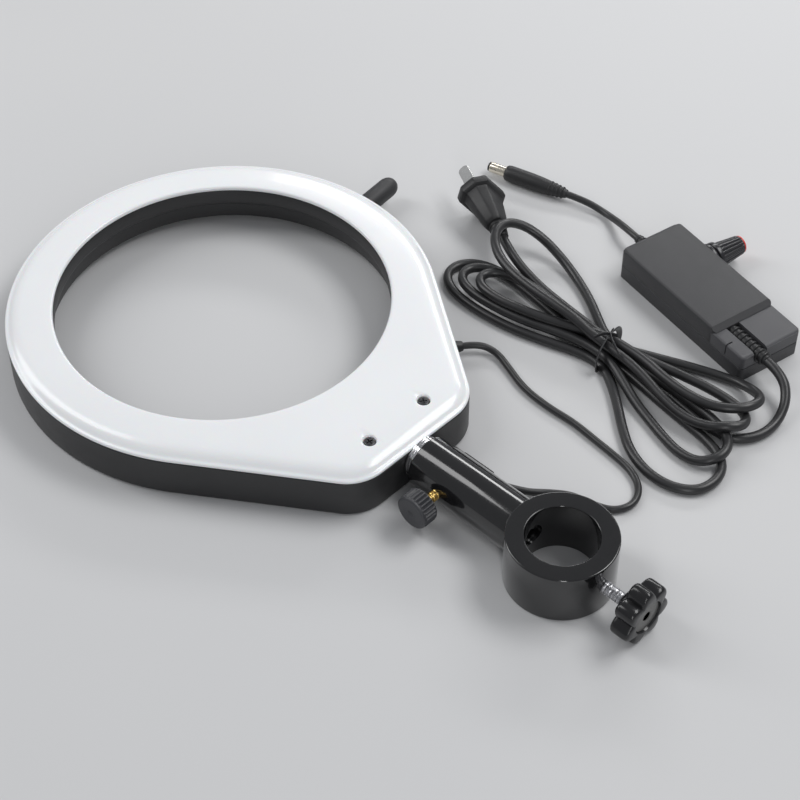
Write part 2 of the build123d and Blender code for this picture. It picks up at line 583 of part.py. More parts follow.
hank = lobe_solid(left_lobe) + lobe_solid(right_lobe)
hank_end = Vector(*mains_route[-1])
hank_dir = (hank_end - Vector(*mains_route[-2])).normalized()
hank -= extrude(Plane(origin=hank_end, z_dir=-1 * hank_dir) * Rectangle(14, 14), 14)

pin_dir = Vector(0.876, -0.482, 0)
plug_roll = 52.0
rim_half_w, rim_half_t, rim_support = 13.0, 9.5, 12.6
facet_s, facet_t = sin(radians(plug_roll)), cos(radians(plug_roll))
plug_front = Vector(188.5, -154.8, floor_z + rim_support)
plug_frame = Plane(origin=plug_front, x_dir=(0.482, 0.876, 0), z_dir=pin_dir).location * Rot(0, 0, plug_roll)
facet_w = (rim_support - rim_half_w * facet_s) / facet_t
facet_h = (rim_support - rim_half_t * facet_t) / facet_s


def octagon(scale_w, scale_t, depth):
    corners = [(rim_half_w, facet_w), (facet_h, rim_half_t), (-facet_h, rim_half_t), (-rim_half_w, facet_w),
               (-rim_half_w, -facet_w), (-facet_h, -rim_half_t), (facet_h, -rim_half_t), (rim_half_w, -facet_w)]
    scaled = [(x * scale_w, y * scale_t) for x, y in corners]
    return Pos(0, 0, -depth) * make_face(Polyline(*scaled, close=True))


rim_thick, body_end, relief_end_l = 5.0, 26.0, 36.0
mains_plug = extrude(octagon(1, 1, rim_thick), rim_thick)
mains_plug += loft([octagon(0.82, 0.8, rim_thick), octagon(0.46, 0.55, body_end)])
mains_plug += cone(mains_d / 2 + 0.7, 4.4, (0, 0, -relief_end_l), (0, 0, -body_end + 1))
blade_w, blade_t, blade_out, blade_in, blade_gap = 6.3, 1.5, 17.0, 8.0, 12.7
blades = []
for side in (-1, 1):
    blade = block((side * blade_gap / 2 - blade_t / 2, -blade_w / 2, -blade_in),
                  (side * blade_gap / 2 + blade_t / 2, blade_w / 2, blade_out))
    tips = blade.edges().filter_by(Axis.X).group_by(Axis.Z)[-1]
    blades.append(fillet(tips, 2.4))
for blade in blades:
    mains_plug -= blade
write("mains_plug_body", plug_frame * mains_plug)
write("mains_plug_pins", plug_frame * group(blades))
tail_end = (plug_frame * Pos(0, 0, -relief_end_l)).position
hank -= extrude(Plane(origin=tail_end, z_dir=pin_dir) * Rectangle(40, 40), 14)
write("mains_hank", hank)

tie_wall = 1.2
tie_half = 3.0
waist = block((tie_x - tie_half, tie_y - tie_r - 3, floor_z), (tie_x + tie_half, tie_y + tie_r + 3, floor_z + hank_height + tie_wall))
waist -= hank
write("hank_tie", waist)
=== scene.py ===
"""Ring light with a post clamp and its dimmable mains adapter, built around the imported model."""

import json
from math import acos, atan2, cos, pi, radians, sin, sqrt, tan
from types import SimpleNamespace

import bmesh
import bpy
from mathutils import Matrix, Vector

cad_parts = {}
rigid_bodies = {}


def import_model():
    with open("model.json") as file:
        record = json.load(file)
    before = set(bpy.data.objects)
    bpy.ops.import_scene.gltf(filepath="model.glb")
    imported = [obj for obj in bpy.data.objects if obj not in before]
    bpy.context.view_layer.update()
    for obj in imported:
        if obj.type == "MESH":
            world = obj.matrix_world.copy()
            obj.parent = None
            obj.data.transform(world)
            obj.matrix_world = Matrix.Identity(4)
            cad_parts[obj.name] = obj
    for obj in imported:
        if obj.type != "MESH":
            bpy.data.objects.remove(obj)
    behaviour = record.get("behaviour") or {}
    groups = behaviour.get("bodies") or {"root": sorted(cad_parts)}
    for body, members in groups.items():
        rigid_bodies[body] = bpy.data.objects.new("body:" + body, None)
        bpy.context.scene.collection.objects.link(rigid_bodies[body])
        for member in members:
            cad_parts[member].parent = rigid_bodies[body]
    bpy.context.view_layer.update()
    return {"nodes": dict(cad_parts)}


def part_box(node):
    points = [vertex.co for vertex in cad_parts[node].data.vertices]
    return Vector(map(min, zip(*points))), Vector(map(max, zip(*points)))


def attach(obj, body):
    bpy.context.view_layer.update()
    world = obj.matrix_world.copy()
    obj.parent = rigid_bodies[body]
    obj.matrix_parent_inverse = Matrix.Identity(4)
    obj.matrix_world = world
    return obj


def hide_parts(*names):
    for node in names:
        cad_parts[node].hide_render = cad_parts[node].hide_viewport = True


bl_info = {
    "name": "Microscope Ring Light",
    "version": (1, 0, 0),
    "blender": (4, 5, 0),
    "location": "3D View > Sidebar > Ring Light",
    "description": "Builds a ring light with a post clamp and its dimmable mains adapter",
    "category": "Add Mesh",
}

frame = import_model()
MM = 0.001              # shapes are worked out in millimetres and made in metres
X_AXIS, Y_AXIS, Z_AXIS = Vector((1, 0, 0)), Vector((0, 1, 0)), Vector((0, 0, 1))


# ------------------------------------------------------------------ sizes and colours
def length(name, description, default):
    return bpy.props.FloatProperty(name=name, description=description, default=default,
                                   unit="LENGTH", precision=4)


def colour(name, description, default):
    return bpy.props.FloatVectorProperty(name=name, description=description, default=default,
                                         subtype="COLOR", size=3, min=0, max=1)


class HeadSizes(bpy.types.PropertyGroup):
    """Sizes of the lamp head"""
    centre: length("Ring centre", "Distance from the post to the middle of the ring", 0.215)
    ring: length("Ring radius", "Outer radius of the light ring", 0.104)
    opening: length("Opening radius", "Radius of the hole that the microscope looks through", 0.081)
    nose: length("Nose", "Distance from the post to the flat end of the nose", 0.084)
    corner: length("Nose corner", "Radius of the nose's corners", 0.022)
    nose_half: length("Nose half width", "Half the width of the nose", 0.0464)
    floor: length("Underside", "Height of the head's underside", -0.0135)
    seam: length("Seam", "Height of the seam between housing and diffuser", 0.0075)
    top: length("Top", "Height of the diffuser's inner edge", 0.0135)
    cove: length("Cove radius", "Radius where the underside's cove begins", 0.0926)


class ClampSizes(bpy.types.PropertyGroup):
    """Sizes of the collar, the arm and their screws"""
    collar: length("Collar radius", "Outer radius of the clamp collar", 0.025)
    bore: length("Bore radius", "Radius of the post's bore", 0.0165)
    half_height: length("Collar half height", "Half the height of the collar", 0.0135)
    arm: length("Arm radius", "Outer radius of the arm tube", 0.0125)
    arm_end: length("Arm end", "Distance from the post to the arm's end face", 0.0799)
    spigot: length("Spigot radius", "Radius of the head's spigot in the arm", 0.008)
    thumb_knob: length("Thumbscrew knob radius", "Radius of the knurled knob", 0.0085)
    star_knob: length("Star knob radius", "Radius over the star knob's lobes", 0.0145)


class CordSizes(bpy.types.PropertyGroup):
    """Diameters of the three cords"""
    lamp: length("Lamp lead", "Diameter of the lamp's own lead", 0.0034)
    output: length("Output cord", "Diameter of the adapter's output cord", 0.0036)
    mains: length("Mains cord", "Diameter of the mains cord", 0.0048)


class Colours(bpy.types.PropertyGroup):
    """Colours that a user would change"""
    housing: colour("Housing", "Painted housing of the lamp head", (0.020, 0.020, 0.021))
    diffuser: colour("Diffuser", "Opal plastic of the diffuser", (0.90, 0.905, 0.92))
    clamp: colour("Clamp", "Gloss paint of collar and arm", (0.0055, 0.0055, 0.006))
    cord: colour("Cord", "Sleeve of the cords", (0.021, 0.021, 0.022))
    adapter: colour("Adapter", "Case of the adapter", (0.036, 0.036, 0.039))
    pointer: colour("Pointer", "Line on the dimmer knob", (0.85, 0.85, 0.85))
    cap: colour("Knob cap", "Cap on the end of the dimmer knob", (0.62, 0.03, 0.015))


def millimetres(group):
    """The group's lengths in millimetres."""
    return SimpleNamespace(**{key: getattr(group, key) / MM for key in type(group).__annotations__})


def opaque(rgb, share=1.0):
    """A colour socket's value, darker by share."""
    return tuple(channel * share for channel in rgb) + (1.0,)


# ------------------------------------------------------------------ node trees
class Wire:
    """One output of a node, which takes part in arithmetic."""

    def __init__(self, net, socket):
        self.net, self.socket = net, socket

    def _math(self, operation, *values):
        return self.net.node("ShaderNodeMath", {"operation": operation}, dict(enumerate(values)))

    def __add__(self, other):
        return self._math("ADD", self, other)

    def __sub__(self, other):
        return self._math("SUBTRACT", self, other)

    def __rsub__(self, other):
        return self._math("SUBTRACT", other, self)

    def __mul__(self, other):
        return self._math("MULTIPLY", self, other)

    def __truediv__(self, other):
        return self._math("DIVIDE", self, other)

    def __pow__(self, other):
        return self._math("POWER", self, other)

    __radd__, __rmul__ = __add__, __mul__

    def least(self, other):
        return self._math("MINIMUM", self, other)

    def cosine(self):
        return self._math("COSINE", self)


class Net:
    """A node tree that is filled in by calls."""

    def __init__(self, tree):
        self.tree = tree

    def node(self, kind, settings=None, inputs=None, output=0):
        made = self.tree.nodes.new(kind)
        for key, value in (settings or {}).items():
            if key == "stops":
                ramp = made.color_ramp.elements
                while len(ramp) < len(value):
                    ramp.new(0.5)
                for stop, (place, shade) in zip(ramp, value):
                    stop.position, stop.color = place, shade
            else:
                setattr(made, key, value)
        for key, value in (inputs or {}).items():
            for item in value if isinstance(value, list) else [value]:
                if isinstance(item, Wire):
                    self.tree.links.new(item.socket, made.inputs[key])
                else:
                    made.inputs[key].default_value = item
        return Wire(self, made.outputs[output])


class Finish(Net):
    """A material. What is the same all over is set on the shader's own sockets."""

    def __init__(self, name, constant):
        self.material = bpy.data.materials.new(name)
        self.material.use_nodes = True
        super().__init__(self.material.node_tree)
        self.shader = next(n for n in self.tree.nodes if n.type == "BSDF_PRINCIPLED")
        for key, value in constant.items():
            self.shader.inputs[key].default_value = value
        self.place = self.node("ShaderNodeTexCoord", output="Object")

    def noise(self, scale, detail=3.0, stretch=None, distortion=0.0):
        """Grey noise from 0 to 1, with features about 1/scale metres across."""
        place = self.place
        if stretch:
            place = self.node("ShaderNodeMapping", {}, {"Vector": place, "Scale": stretch})
        return self.node("ShaderNodeTexNoise", {},
                         {"Vector": place, "Scale": scale, "Detail": detail, "Distortion": distortion})

    def mix(self, factor, first, second):
        return self.node("ShaderNodeMix", {"data_type": "RGBA"}, {0: factor, 6: first, 7: second}, 2)

    def ramp(self, factor, low, high, first, second):
        """A colour that turns from first to second as factor goes from low to high."""
        return self.node("ShaderNodeValToRGB", {"stops": [(low, first), (high, second)]}, {0: factor})

    def bump(self, height, depth):
        return self.node("ShaderNodeBump", {}, {"Height": height, "Strength": 1.0, "Distance": depth})

    def feed(self, **wires):
        for key, wire in wires.items():
            self.tree.links.new(wire.socket, self.shader.inputs[key.replace("_", " ")])
        return self.material


def moulded(name, rgb, roughness, grain=1500.0, depth=0.00006, constant=None):
    """Plastic or paint with a fine grain, faint mottling and rubbed patches."""
    finish = Finish(name, constant or {})
    mottle = finish.noise(38.0, 4.0)
    rubbed = finish.noise(130.0, 5.0, distortion=0.6)
    speck = finish.noise(grain, 2.0)
    base = finish.mix(mottle, opaque(rgb, 0.86), opaque(rgb, 1.16))
    base = finish.mix(speck * 0.12, base, opaque([channel + 0.03 for channel in rgb]))
    return finish.feed(Base_Color=base, Roughness=roughness - 0.07 + 0.14 * rubbed,
                       Normal=finish.bump(speck + 0.3 * mottle, depth))


def metal(name, rgb, roughness, lines=(1.0, 1.0, 1.0), scale=2200.0, depth=0.00001):
    """Bare or plated metal with fine lines, which run along the axis with the smallest number."""
    finish = Finish(name, {"Metallic": 1.0})
    scratch = finish.noise(scale, 3.0, stretch=lines)
    dull = finish.noise(160.0, 4.0)
    base = finish.mix(dull, opaque(rgb, 0.84), opaque(rgb))
    return finish.feed(Base_Color=base, Roughness=roughness + 0.10 * dull + 0.08 * scratch,
                       Normal=finish.bump(scratch, depth))


def make_finishes(c):
    """Every material, by the name that the pieces use."""
    made = SimpleNamespace()
    made.housing = moulded("housing_paint", c.housing, 0.42, 2100.0, 0.00005)
    made.clamp = moulded("clamp_paint", c.clamp, 0.14, 600.0, 0.000012,
                         {"Coat Weight": 0.7, "Coat Roughness": 0.06})
    made.knob = moulded("knob_plastic", (0.010, 0.010, 0.011), 0.20, 800.0, 0.00001)
    made.knurled = moulded("knurled_plastic", (0.042, 0.043, 0.048), 0.46, 2600.0, 0.00005)
    made.face = moulded("knob_face", (0.11, 0.108, 0.104), 0.30, 1800.0, 0.00002)
    made.adapter = moulded("adapter_case", c.adapter, 0.47, 3400.0, 0.00009)
    made.adapter_end = moulded("adapter_end", tuple(1.9 * channel for channel in c.adapter), 0.44,
                               3400.0, 0.00009)
    made.dimmer = moulded("dimmer_knob", (0.022, 0.022, 0.025), 0.22, 1500.0, 0.00002)
    made.plug = moulded("plug_body", (0.016, 0.016, 0.017), 0.45, 2600.0, 0.00006)
    made.relief = moulded("strain_relief", (0.013, 0.013, 0.014), 0.42, 2200.0, 0.00004)
    made.peg = moulded("side_peg", (0.028, 0.028, 0.030), 0.50, 2400.0, 0.00007)
    made.tie = moulded("twist_tie", (0.035, 0.035, 0.037), 0.36, 1800.0, 0.00002)
    made.cap = moulded("knob_cap", c.cap, 0.28, 1500.0, 0.00002)
    made.pointer = moulded("pointer_line", c.pointer, 0.36, 1500.0, 0.00001)
    made.nylon = moulded("nylon", (0.72, 0.72, 0.68), 0.45, 1800.0, 0.00003)
    made.board = moulded("green_board", (0.02, 0.13, 0.05), 0.40, 900.0, 0.00002)
    made.white_board = moulded("white_board", (0.78, 0.79, 0.77), 0.42, 900.0, 0.00002)
    made.led = moulded("led", (0.80, 0.66, 0.16), 0.30, 900.0, 0.00002)
    made.component = moulded("component", (0.05, 0.05, 0.07), 0.38, 900.0, 0.00002)
    made.winding = moulded("winding", (0.46, 0.30, 0.04), 0.42, 1200.0, 0.00004)
    made.chrome = metal("chrome", (0.82, 0.82, 0.83), 0.07, scale=900.0, depth=0.000003)
    made.zinc = metal("zinc", (0.66, 0.66, 0.68), 0.24)
    made.black_zinc = metal("black_zinc", (0.10, 0.10, 0.105), 0.30)
    made.brass = metal("brass", (0.78, 0.56, 0.20), 0.22)
    made.blade = metal("nickel", (0.84, 0.84, 0.82), 0.13, lines=(1.0, 1.0, 6.0))
    made.barrel = metal("barrel_plate", (0.86, 0.80, 0.68), 0.16)
    made.aluminium = metal("aluminium", (0.6, 0.6, 0.62), 0.35, lines=(1.0, 8.0, 1.0))
    made.cord = cord_finish(c.cord)
    made.diffuser = diffuser_finish(c.diffuser)
    return made


def cord_finish(rgb):
    """Soft sleeve with a satin skin, scuffs and faint lengthways waviness."""
    finish = Finish("cord_sleeve", {"Specular IOR Level": 0.55})
    wave = finish.noise(260.0, 2.0)
    scuff = finish.noise(70.0, 6.0, distortion=0.8)
    skin = finish.noise(2600.0, 2.0)
    base = finish.mix(scuff, opaque(rgb, 0.72), opaque(rgb, 1.45))
    return finish.feed(Base_Color=base, Roughness=0.27 + 0.16 * scuff,
                       Normal=finish.bump(0.8 * wave + 0.15 * skin, 0.00005))


def diffuser_finish(rgb):
    """Opal plastic: cool and even, with a polished skin that is a little uneven."""
    finish = Finish("opal_diffuser", {"Subsurface Weight": 0.12, "Subsurface Scale": 0.004,
                                      "Coat Weight": 0.35, "Coat Roughness": 0.05})
    cloud = finish.noise(14.0, 3.0)
    ripple = finish.noise(55.0, 2.0)
    skin = finish.noise(1700.0, 2.0)
    base = finish.mix(cloud, opaque(rgb, 0.96), opaque(rgb, 1.03))
    return finish.feed(Base_Color=base, Roughness=0.20 + 0.08 * ripple,
                       Normal=finish.bump(ripple + 0.02 * skin, 0.00010))


# ------------------------------------------------------------------ mesh helpers
def bridge(bm, rings, wrap):
    """Faces between neighbouring rings of vertices. A ring of one vertex is a pole."""
    pairs = list(zip(rings, rings[1:]))
    if wrap:
        pairs.append((rings[-1], rings[0]))
    for first, second in pairs:
        for i in range(max(len(first), len(second))):
            j = i + 1
            corners = [first[i % len(first)], first[j % len(first)],
                       second[j % len(second)], second[i % len(second)]]
            corners = list(dict.fromkeys(corners))
            if len(corners) > 2:
                bm.faces.new(corners)


def loft(sections, wrap=False):
    """A skin over rings of points, closed round (wrap) or with a flat face on each end."""
    bm = bmesh.new()
    rings = [[bm.verts.new(point) for point in section] for section in sections]
    bridge(bm, rings, wrap)
    if not wrap:
        bm.faces.new(rings[0])
        bm.faces.new(rings[-1])
    return bm


def placed(base, axis, roll=0.0):
    """The matrix that stands a piece's own Z on base, along axis."""
    turn = Vector(axis).to_track_quat("Z", "Y").to_matrix().to_4x4()
    return Matrix.Translation(Vector(base)) @ turn @ Matrix.Rotation(roll, 4, "Z")


def rounded(outline, radius=0.4, steps=4, closed=True):
    """The outline with its corners rounded. A point may carry its own radius as a third number."""
    points = [Vector(point[:2]) for point in outline]
    made = []
    for i, point in enumerate(points):
        r = outline[i][2] if len(outline[i]) > 2 else radius
        if r <= 0 or (not closed and i in (0, len(points) - 1)):
            made.append(point)
            continue
        before, after = points[i - 1] - point, points[(i + 1) % len(points)] - point
        turn = before.angle(after)
        reach = min(r / tan(turn / 2), 0.48 * before.length, 0.48 * after.length)
        r = reach * tan(turn / 2)
        bisector = (before.normalized() + after.normalized()).normalized()
        centre = point + bisector * (r / sin(turn / 2))
        start, end = point + before.normalized() * reach, point + after.normalized() * reach
        for step in range(steps + 1):
            offset = start.lerp(end, step / steps) - centre
            made.append(centre + offset.normalized() * r)
    return made


def lathe(outline, base=(0, 0, 0), axis=(0, 0, 1), around=72):
    """Turn an outline of (radius, height) about an axis. Heights run along it from base."""
    bm = bmesh.new()
    place = placed(base, axis)
    rings = []
    for radius, height in outline:
        if radius < 1e-4:
            rings.append([bm.verts.new(place @ Vector((0, 0, height)))])
            continue
        turns = [2 * pi * i / around for i in range(around)]
        rings.append([bm.verts.new(place @ Vector((radius * cos(t), radius * sin(t), height)))
                      for t in turns])
    bridge(bm, rings, wrap=outline[0][0] > 1e-4)
    return bm


def solid_outline(points, radius=0.4):
    """A lathe outline for a solid bar: from the axis, along the points, back to the axis."""
    ends = [(0, points[0][1]), (0, points[-1][1])]
    return rounded([ends[0]] + list(points) + [ends[1]], radius, closed=False)


def box(low, high, bevel=0.3):
    """A block with softened edges."""
    bm = bmesh.new()
    low, high = Vector(low), Vector(high)
    bmesh.ops.create_cube(bm, size=1.0)
    for vert in bm.verts:
        vert.co = Vector([(a + b) / 2 + c * (b - a) for a, b, c in zip(low, high, vert.co)])
    bmesh.ops.bevel(bm, geom=list(bm.edges), offset=bevel, segments=2, profile=0.5, affect="EDGES")
    return bm


def applied(piece):
    """Replace the piece's mesh by its evaluated one and drop its modifiers."""
    graph = bpy.context.evaluated_depsgraph_get()
    mesh = bpy.data.meshes.new_from_object(piece.evaluated_get(graph))
    piece.modifiers.clear()
    piece.data = mesh


def to_object(name, bm):
    bmesh.ops.remove_doubles(bm, verts=bm.verts, dist=1e-5)
    bmesh.ops.recalc_face_normals(bm, faces=bm.faces)
    mesh = bpy.data.meshes.new(name)
    bm.to_mesh(mesh)
    bm.free()
    piece = bpy.data.objects.new(name, mesh)
    bpy.context.scene.collection.objects.link(piece)
    return piece


def carve(piece, cuts=(), joins=()):
    """Join solids to the piece, then cut solids out of it."""
    tools = []
    for operation, solids in (("UNION", joins), ("DIFFERENCE", cuts)):
        for solid in solids:
            tool = to_object("tool", solid)
            modifier = piece.modifiers.new(operation, "BOOLEAN")
            modifier.operation, modifier.solver, modifier.object = operation, "EXACT", tool
            tools.append(tool)
    applied(piece)
    for tool in tools:
        bpy.data.objects.remove(tool)


def settle(piece, finish, body, replaces=(), sharp=34.0):
    """Scale a finished piece to metres, shade it, and give it its body and finish."""
    piece.data.transform(Matrix.Scale(MM, 4))
    piece.data.shade_smooth()
    piece.data.set_sharp_from_angle(angle=radians(sharp))
    piece.data.materials.clear()
    piece.data.materials.append(finish)
    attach(piece, body)
    if replaces:
        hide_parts(*replaces)
    return piece


def make(name, bm, finish, body, replaces=(), cuts=(), joins=(), sharp=34.0):
    """One finished piece from its mesh in millimetres."""
    piece = to_object(name, bm)
    if cuts or joins:
        carve(piece, cuts, joins)
    return settle(piece, finish, body, replaces, sharp)


# ------------------------------------------------------------------ geometry node trees
def tree_start(name, sizes):
    """A geometry tree with named inputs. Returns the net and its inputs by name."""
    tree = bpy.data.node_groups.new(name, "GeometryNodeTree")
    kinds = {int: "NodeSocketInt", float: "NodeSocketFloat"}
    for label, default in sizes.items():
        tree.interface.new_socket(label, in_out="INPUT", socket_type=kinds[type(default)])
    tree.interface.new_socket("Finish", in_out="INPUT", socket_type="NodeSocketMaterial")
    tree.interface.new_socket("Geometry", in_out="OUTPUT", socket_type="NodeSocketGeometry")
    net = Net(tree)
    source = tree.nodes.new("NodeGroupInput")
    return net, {socket.name: Wire(net, socket) for socket in source.outputs if socket.name}


def tree_end(net, geometry, finish):
    real = net.node("GeometryNodeRealizeInstances", {}, {"Geometry": geometry})
    painted = net.node("GeometryNodeSetMaterial", {}, {"Geometry": real, "Material": finish})
    target = net.tree.nodes.new("NodeGroupOutput")
    net.tree.links.new(painted.socket, target.inputs[0])
    return net.tree


def thread_tree():
    """A screw's core with one ridge wound round it, standing on its own Z."""
    net, size = tree_start("Thread", {"Length": 1.0, "Radius": 1.0, "Pitch": 1.0})
    root = size["Radius"] - 0.32 * size["Pitch"]
    turns = size["Length"] / size["Pitch"]
    spiral = net.node("GeometryNodeCurveSpiral", {}, {
        "Resolution": 40, "Rotations": turns, "Start Radius": root, "End Radius": root,
        "Height": size["Length"]})
    section = net.node("GeometryNodeCurvePrimitiveCircle", {}, {
        "Resolution": 6, "Radius": 0.36 * size["Pitch"]})
    ridge = net.node("GeometryNodeCurveToMesh", {}, {
        "Curve": spiral, "Profile Curve": section, "Fill Caps": True})
    core = net.node("GeometryNodeMeshCylinder", {}, {
        "Vertices": 40, "Radius": root, "Depth": size["Length"]})
    lift = net.node("ShaderNodeCombineXYZ", {}, {"Z": size["Length"] * 0.5})
    core = net.node("GeometryNodeTransform", {}, {"Geometry": core, "Translation": lift})
    both = net.node("GeometryNodeJoinGeometry", {}, {"Geometry": [ridge, core]})
    return tree_end(net, both, size["Finish"])


def fluted_tree():
    """A knob with grooves along it, tapering from its near end to its far end."""
    net, size = tree_start("Fluted knob", {"Length": 1.0, "Near": 1.0, "Far": 1.0, "Flutes": 18,
                                           "Depth": 0.1, "Edge": 1.0, "Crest": 1.0})
    blank = net.node("GeometryNodeMeshCylinder", {"fill_type": "TRIANGLE_FAN"}, {
        "Vertices": size["Flutes"] * 10, "Side Segments": 28, "Fill Segments": 1, "Radius": 1.0,
        "Depth": 1.0})
    place = net.node("GeometryNodeInputPosition")
    split = net.node("ShaderNodeSeparateXYZ", {}, {0: place})
    x, y, z = (Wire(net, split.socket.node.outputs[i]) for i in range(3))
    share = z + 0.5
    turn = y._math("ARCTAN2", y, x)
    wave = 0.5 - 0.5 * (turn * size["Flutes"]).cosine()
    ends = (share.least(1.0 - share) * size["Length"] / size["Edge"]).least(1.0)
    fall = 1.0 - ends
    rim = 1.0 - fall * fall * 0.5 * size["Edge"] / size["Near"]
    groove = 1.0 - size["Depth"] * (wave ** size["Crest"]) * ends
    radius = (size["Near"] * (1.0 - share) + size["Far"] * share) * groove * rim
    moved = net.node("ShaderNodeCombineXYZ", {}, {
        "X": x * radius, "Y": y * radius, "Z": share * size["Length"]})
    shaped = net.node("GeometryNodeSetPosition", {}, {"Geometry": blank, "Position": moved})
    return tree_end(net, shaped, size["Finish"])


def ribs_tree():
    """Beads round a tapering sleeve, standing on its own Z."""
    net, size = tree_start("Ribs", {"Count": 4, "Spacing": 1.0, "Radius": 1.0, "Thickness": 1.0,
                                    "Taper": 0.0})
    step = net.node("ShaderNodeCombineXYZ", {}, {"Z": size["Spacing"]})
    line = net.node("GeometryNodeMeshLine", {"mode": "OFFSET"}, {"Count": size["Count"], "Offset": step})
    circle = net.node("GeometryNodeCurvePrimitiveCircle", {}, {
        "Resolution": 48, "Radius": size["Radius"] - size["Thickness"] * 0.5})
    section = net.node("GeometryNodeCurvePrimitiveCircle", {}, {
        "Resolution": 12, "Radius": size["Thickness"] * 0.5})
    bead = net.node("GeometryNodeCurveToMesh", {}, {"Curve": circle, "Profile Curve": section})
    index = net.node("GeometryNodeInputIndex")
    scale = 1.0 - size["Taper"] * index / size["Count"]
    beads = net.node("GeometryNodeInstanceOnPoints", {}, {"Points": line, "Instance": bead, "Scale": scale})
    return tree_end(net, beads, size["Finish"])


def grown(name, tree, place, finish, values):
    """The mesh that a geometry tree makes, as an object in millimetres."""
    piece = bpy.data.objects.new(name, bpy.data.meshes.new(name))
    bpy.context.scene.collection.objects.link(piece)
    modifier = piece.modifiers.new("grow", "NODES")
    modifier.node_group = tree
    values = dict(values, Finish=finish)
    for item in tree.interface.items_tree:
        if item.in_out == "INPUT":
            modifier[item.identifier] = values[item.name]
    applied(piece)
    if not len(piece.data.polygons):
        raise RuntimeError(f"{name}: the {tree.name} tree made nothing")
    piece.data.transform(place)
    return piece


# ------------------------------------------------------------------ places that several pieces share
ADAPTER = Matrix.Translation((56.4, -176.6, -13.5)) @ Matrix.Rotation(radians(-12), 4, "Z")
HALF_LENGTH, HALF_WIDTH = 46.0, 18.5
DIMMER = ADAPTER @ placed((22.0, -HALF_WIDTH, 9.5), (0, -1, 0), pi / 2)
MAINS_EXIT = ADAPTER @ placed((-HALF_LENGTH - 5.0, 7.0, 12.2), X_AXIS)
OUTPUT_EXIT = ADAPTER @ placed((HALF_LENGTH, 0.0, 9.0), X_AXIS)
POINTER_TURN = radians(-60.0)                   # where the dimmer's line points at rest
NOSE_SCREW_X, NOSE_SCREW_Y = 98.5, 17.5
THUMB_X = 63                                    # the thumbscrew's place along the arm
BOLT_HOLE = 3.1                                 # radius of the holes for bolt and clamp screw
PEG_TURN = radians(-84)
TABLE_Z = -0.01352                              # a hair under the lowest pieces, in metres
LEAD_OUT = Vector((-0.568066, -0.822983, 0.0))
GLAND = Vector((127.738, -66.137, -8.5))
PIN_DIR = Vector((0.876, -0.482, 0.0))
PLUG_FRONT = Vector((188.5, -154.8, -0.9))

# Control points of the cords, in metres.
LEAD_Z = -0.0117
LAMP_LEAD = [
    (0.12373, -0.07194, -0.0085), (0.11919, -0.07852, -0.0085), (0.1105, -0.0820, -0.0109),
    (0.0995, -0.0785, LEAD_Z), (0.0860, -0.0735, LEAD_Z), (0.0700, -0.0720, LEAD_Z),
    (0.0540, -0.0729, LEAD_Z), (0.0390, -0.0712, LEAD_Z), (0.0260, -0.0699, LEAD_Z),
    (0.0150, -0.0680, LEAD_Z), (0.0055, -0.0623, LEAD_Z), (0.0014, -0.0530, LEAD_Z),
    (0.0054, -0.0439, LEAD_Z), (0.0150, -0.0400, LEAD_Z), (0.0255, -0.0380, LEAD_Z),
    (0.0340, -0.0316, LEAD_Z), (0.0410, -0.0236, -0.0104), (0.0500, -0.0186, -0.0088)]
OUTPUT_CORD = [
    (0.11024, -0.18804, -0.0045), (0.11855, -0.18981, -0.0045), (0.1280, -0.1946, -0.0084),
    (0.1390, -0.1982, -0.0114), (0.1510, -0.1965, -0.0091), (0.1620, -0.19375, -0.0091)]
LOW, MID, HIGH = -0.0110, -0.0067, -0.0024      # heights of the hank's layers
